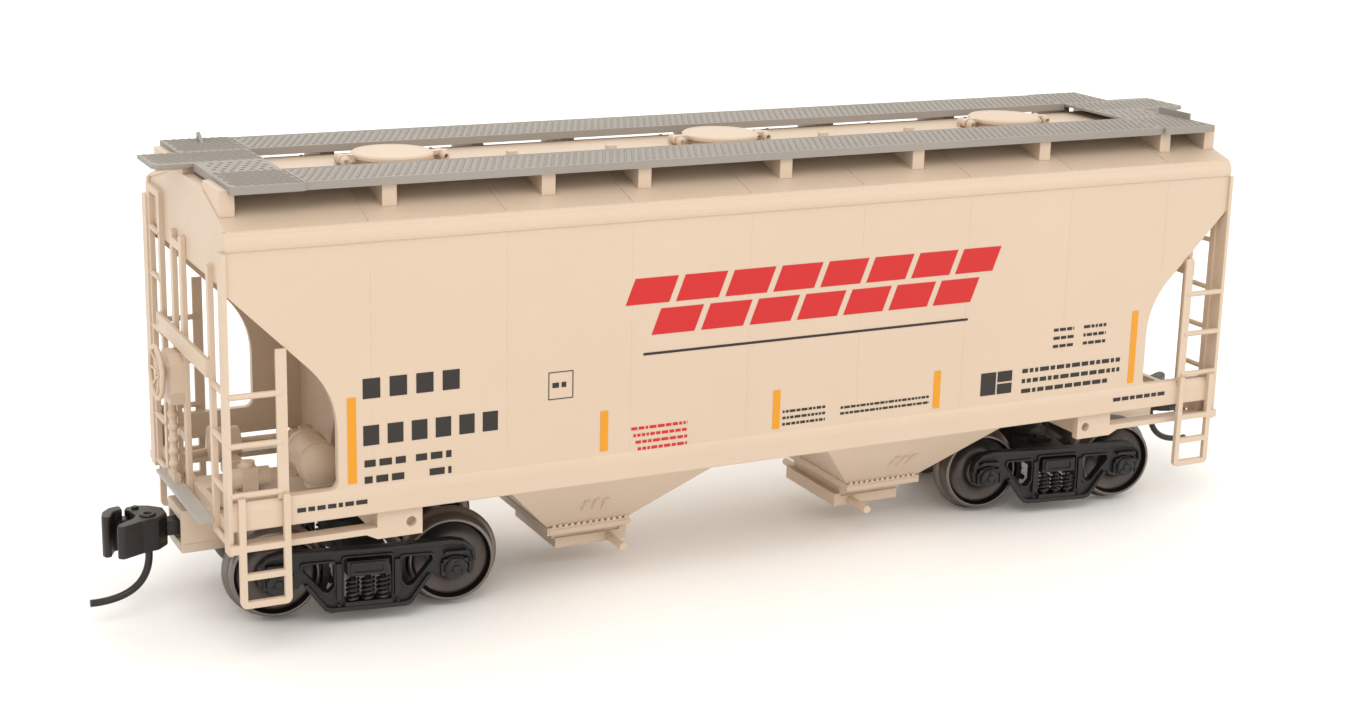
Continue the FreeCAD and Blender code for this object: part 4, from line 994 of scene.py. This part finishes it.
# ---- stage, light and camera ----
FLOOR_REACH = 3.0
FLOOR_TONES = [(0.0, (0.955, 0.95, 0.945)), (1.0, (0.975, 0.97, 0.965))]
SKY_COLOUR = (1.0, 0.98, 0.93, 1)
SKY_STRENGTH = 1.08
LAMP_COLOUR = (1.0, 0.985, 0.96)
LAMP_TARGET = Vector((0, 0, 0.03))
LAMPS = (("key", (-0.25, -0.45, 0.62), 0.5, 1.8),     # name, place and size in metres, power
         ("fill", (0.5, -0.5, 0.35), 0.4, 0.7),
         ("back", (0.1, 0.55, 0.55), 0.5, 0.9))
CAMERA_PLACE = (-123.73, -234.84, 96.54)              # millimetres
CAMERA_AZIMUTH = -27.754
CAMERA_ELEVATION = 14.098
CAMERA_ROLL = 1.620
SENSOR_WIDTH = 36.0
FOCAL_LENGTH = 57.07
LENS_SHIFT = (-0.0288, -0.0355)


def stage_and_light():
    """Flat pale floor, a warm white sky, and soft key, fill and back lights."""
    floor = Nodes("floor_card", 0.6, specular=0.2)
    floor.colour(floor.ramp(floor.noise(30.0), FLOOR_TONES))
    mesh = bpy.data.meshes.new("floor")
    corners = [(x * FLOOR_REACH, y * FLOOR_REACH, 0) for x, y in ((-1, -1), (1, -1), (1, 1), (-1, 1))]
    mesh.from_pydata(corners, [], [[0, 1, 2, 3]])
    mesh.materials.append(floor.material)
    ground = bpy.data.objects.new("floor", mesh)
    bpy.context.scene.collection.objects.link(ground)
    world = bpy.data.worlds.new("sky")
    world.use_nodes = True
    sky = world.node_tree.nodes["Background"]
    sky.inputs["Color"].default_value = SKY_COLOUR
    sky.inputs["Strength"].default_value = SKY_STRENGTH
    bpy.context.scene.world = world
    for lamp in LAMPS:
        area_light(*lamp)


def area_light(name, place, size, power):
    light = bpy.data.lights.new(name, "AREA")
    light.shape = "DISK"
    light.size = size
    light.energy = power
    light.color = LAMP_COLOUR
    lamp = bpy.data.objects.new(name, light)
    lamp.location = place
    lamp.rotation_euler = (LAMP_TARGET - Vector(place)).to_track_quat("-Z", "Y").to_euler()
    bpy.context.scene.collection.objects.link(lamp)


def camera():
    """Camera at the near side of the brake wheel end, looking slightly down, rolled a little."""
    lens = bpy.data.cameras.new("camera")
    lens.sensor_width = SENSOR_WIDTH
    lens.lens = FOCAL_LENGTH
    lens.shift_x, lens.shift_y = LENS_SHIFT
    lens.clip_start = 0.01
    eye = bpy.data.objects.new("camera", lens)
    azimuth = math.radians(CAMERA_AZIMUTH)
    elevation = math.radians(CAMERA_ELEVATION)
    roll = math.radians(CAMERA_ROLL)
    ahead = Vector((-math.sin(azimuth) * math.cos(elevation), math.cos(azimuth) * math.cos(elevation),
                    -math.sin(elevation)))
    level = ahead.cross(Vector((0, 0, 1))).normalized()
    upward = level.cross(ahead)
    right = level * math.cos(roll) + upward * math.sin(roll)
    top = right.cross(ahead)
    turn = Matrix((right, top, -ahead)).transposed().to_4x4()
    eye.matrix_world = Matrix.Translation(Vector(CAMERA_PLACE) * MM) @ turn
    bpy.context.scene.collection.objects.link(eye)
    bpy.context.scene.camera = eye
    bpy.context.scene.view_settings.view_transform = "Standard"


camera()
stage_and_light()
finish_cad_nodes()
running_boards()
roof_platforms()
truck_pieces()
wheelsets()
couplers()
wall_seams()
bay_details()
end_details()
painted_marks()
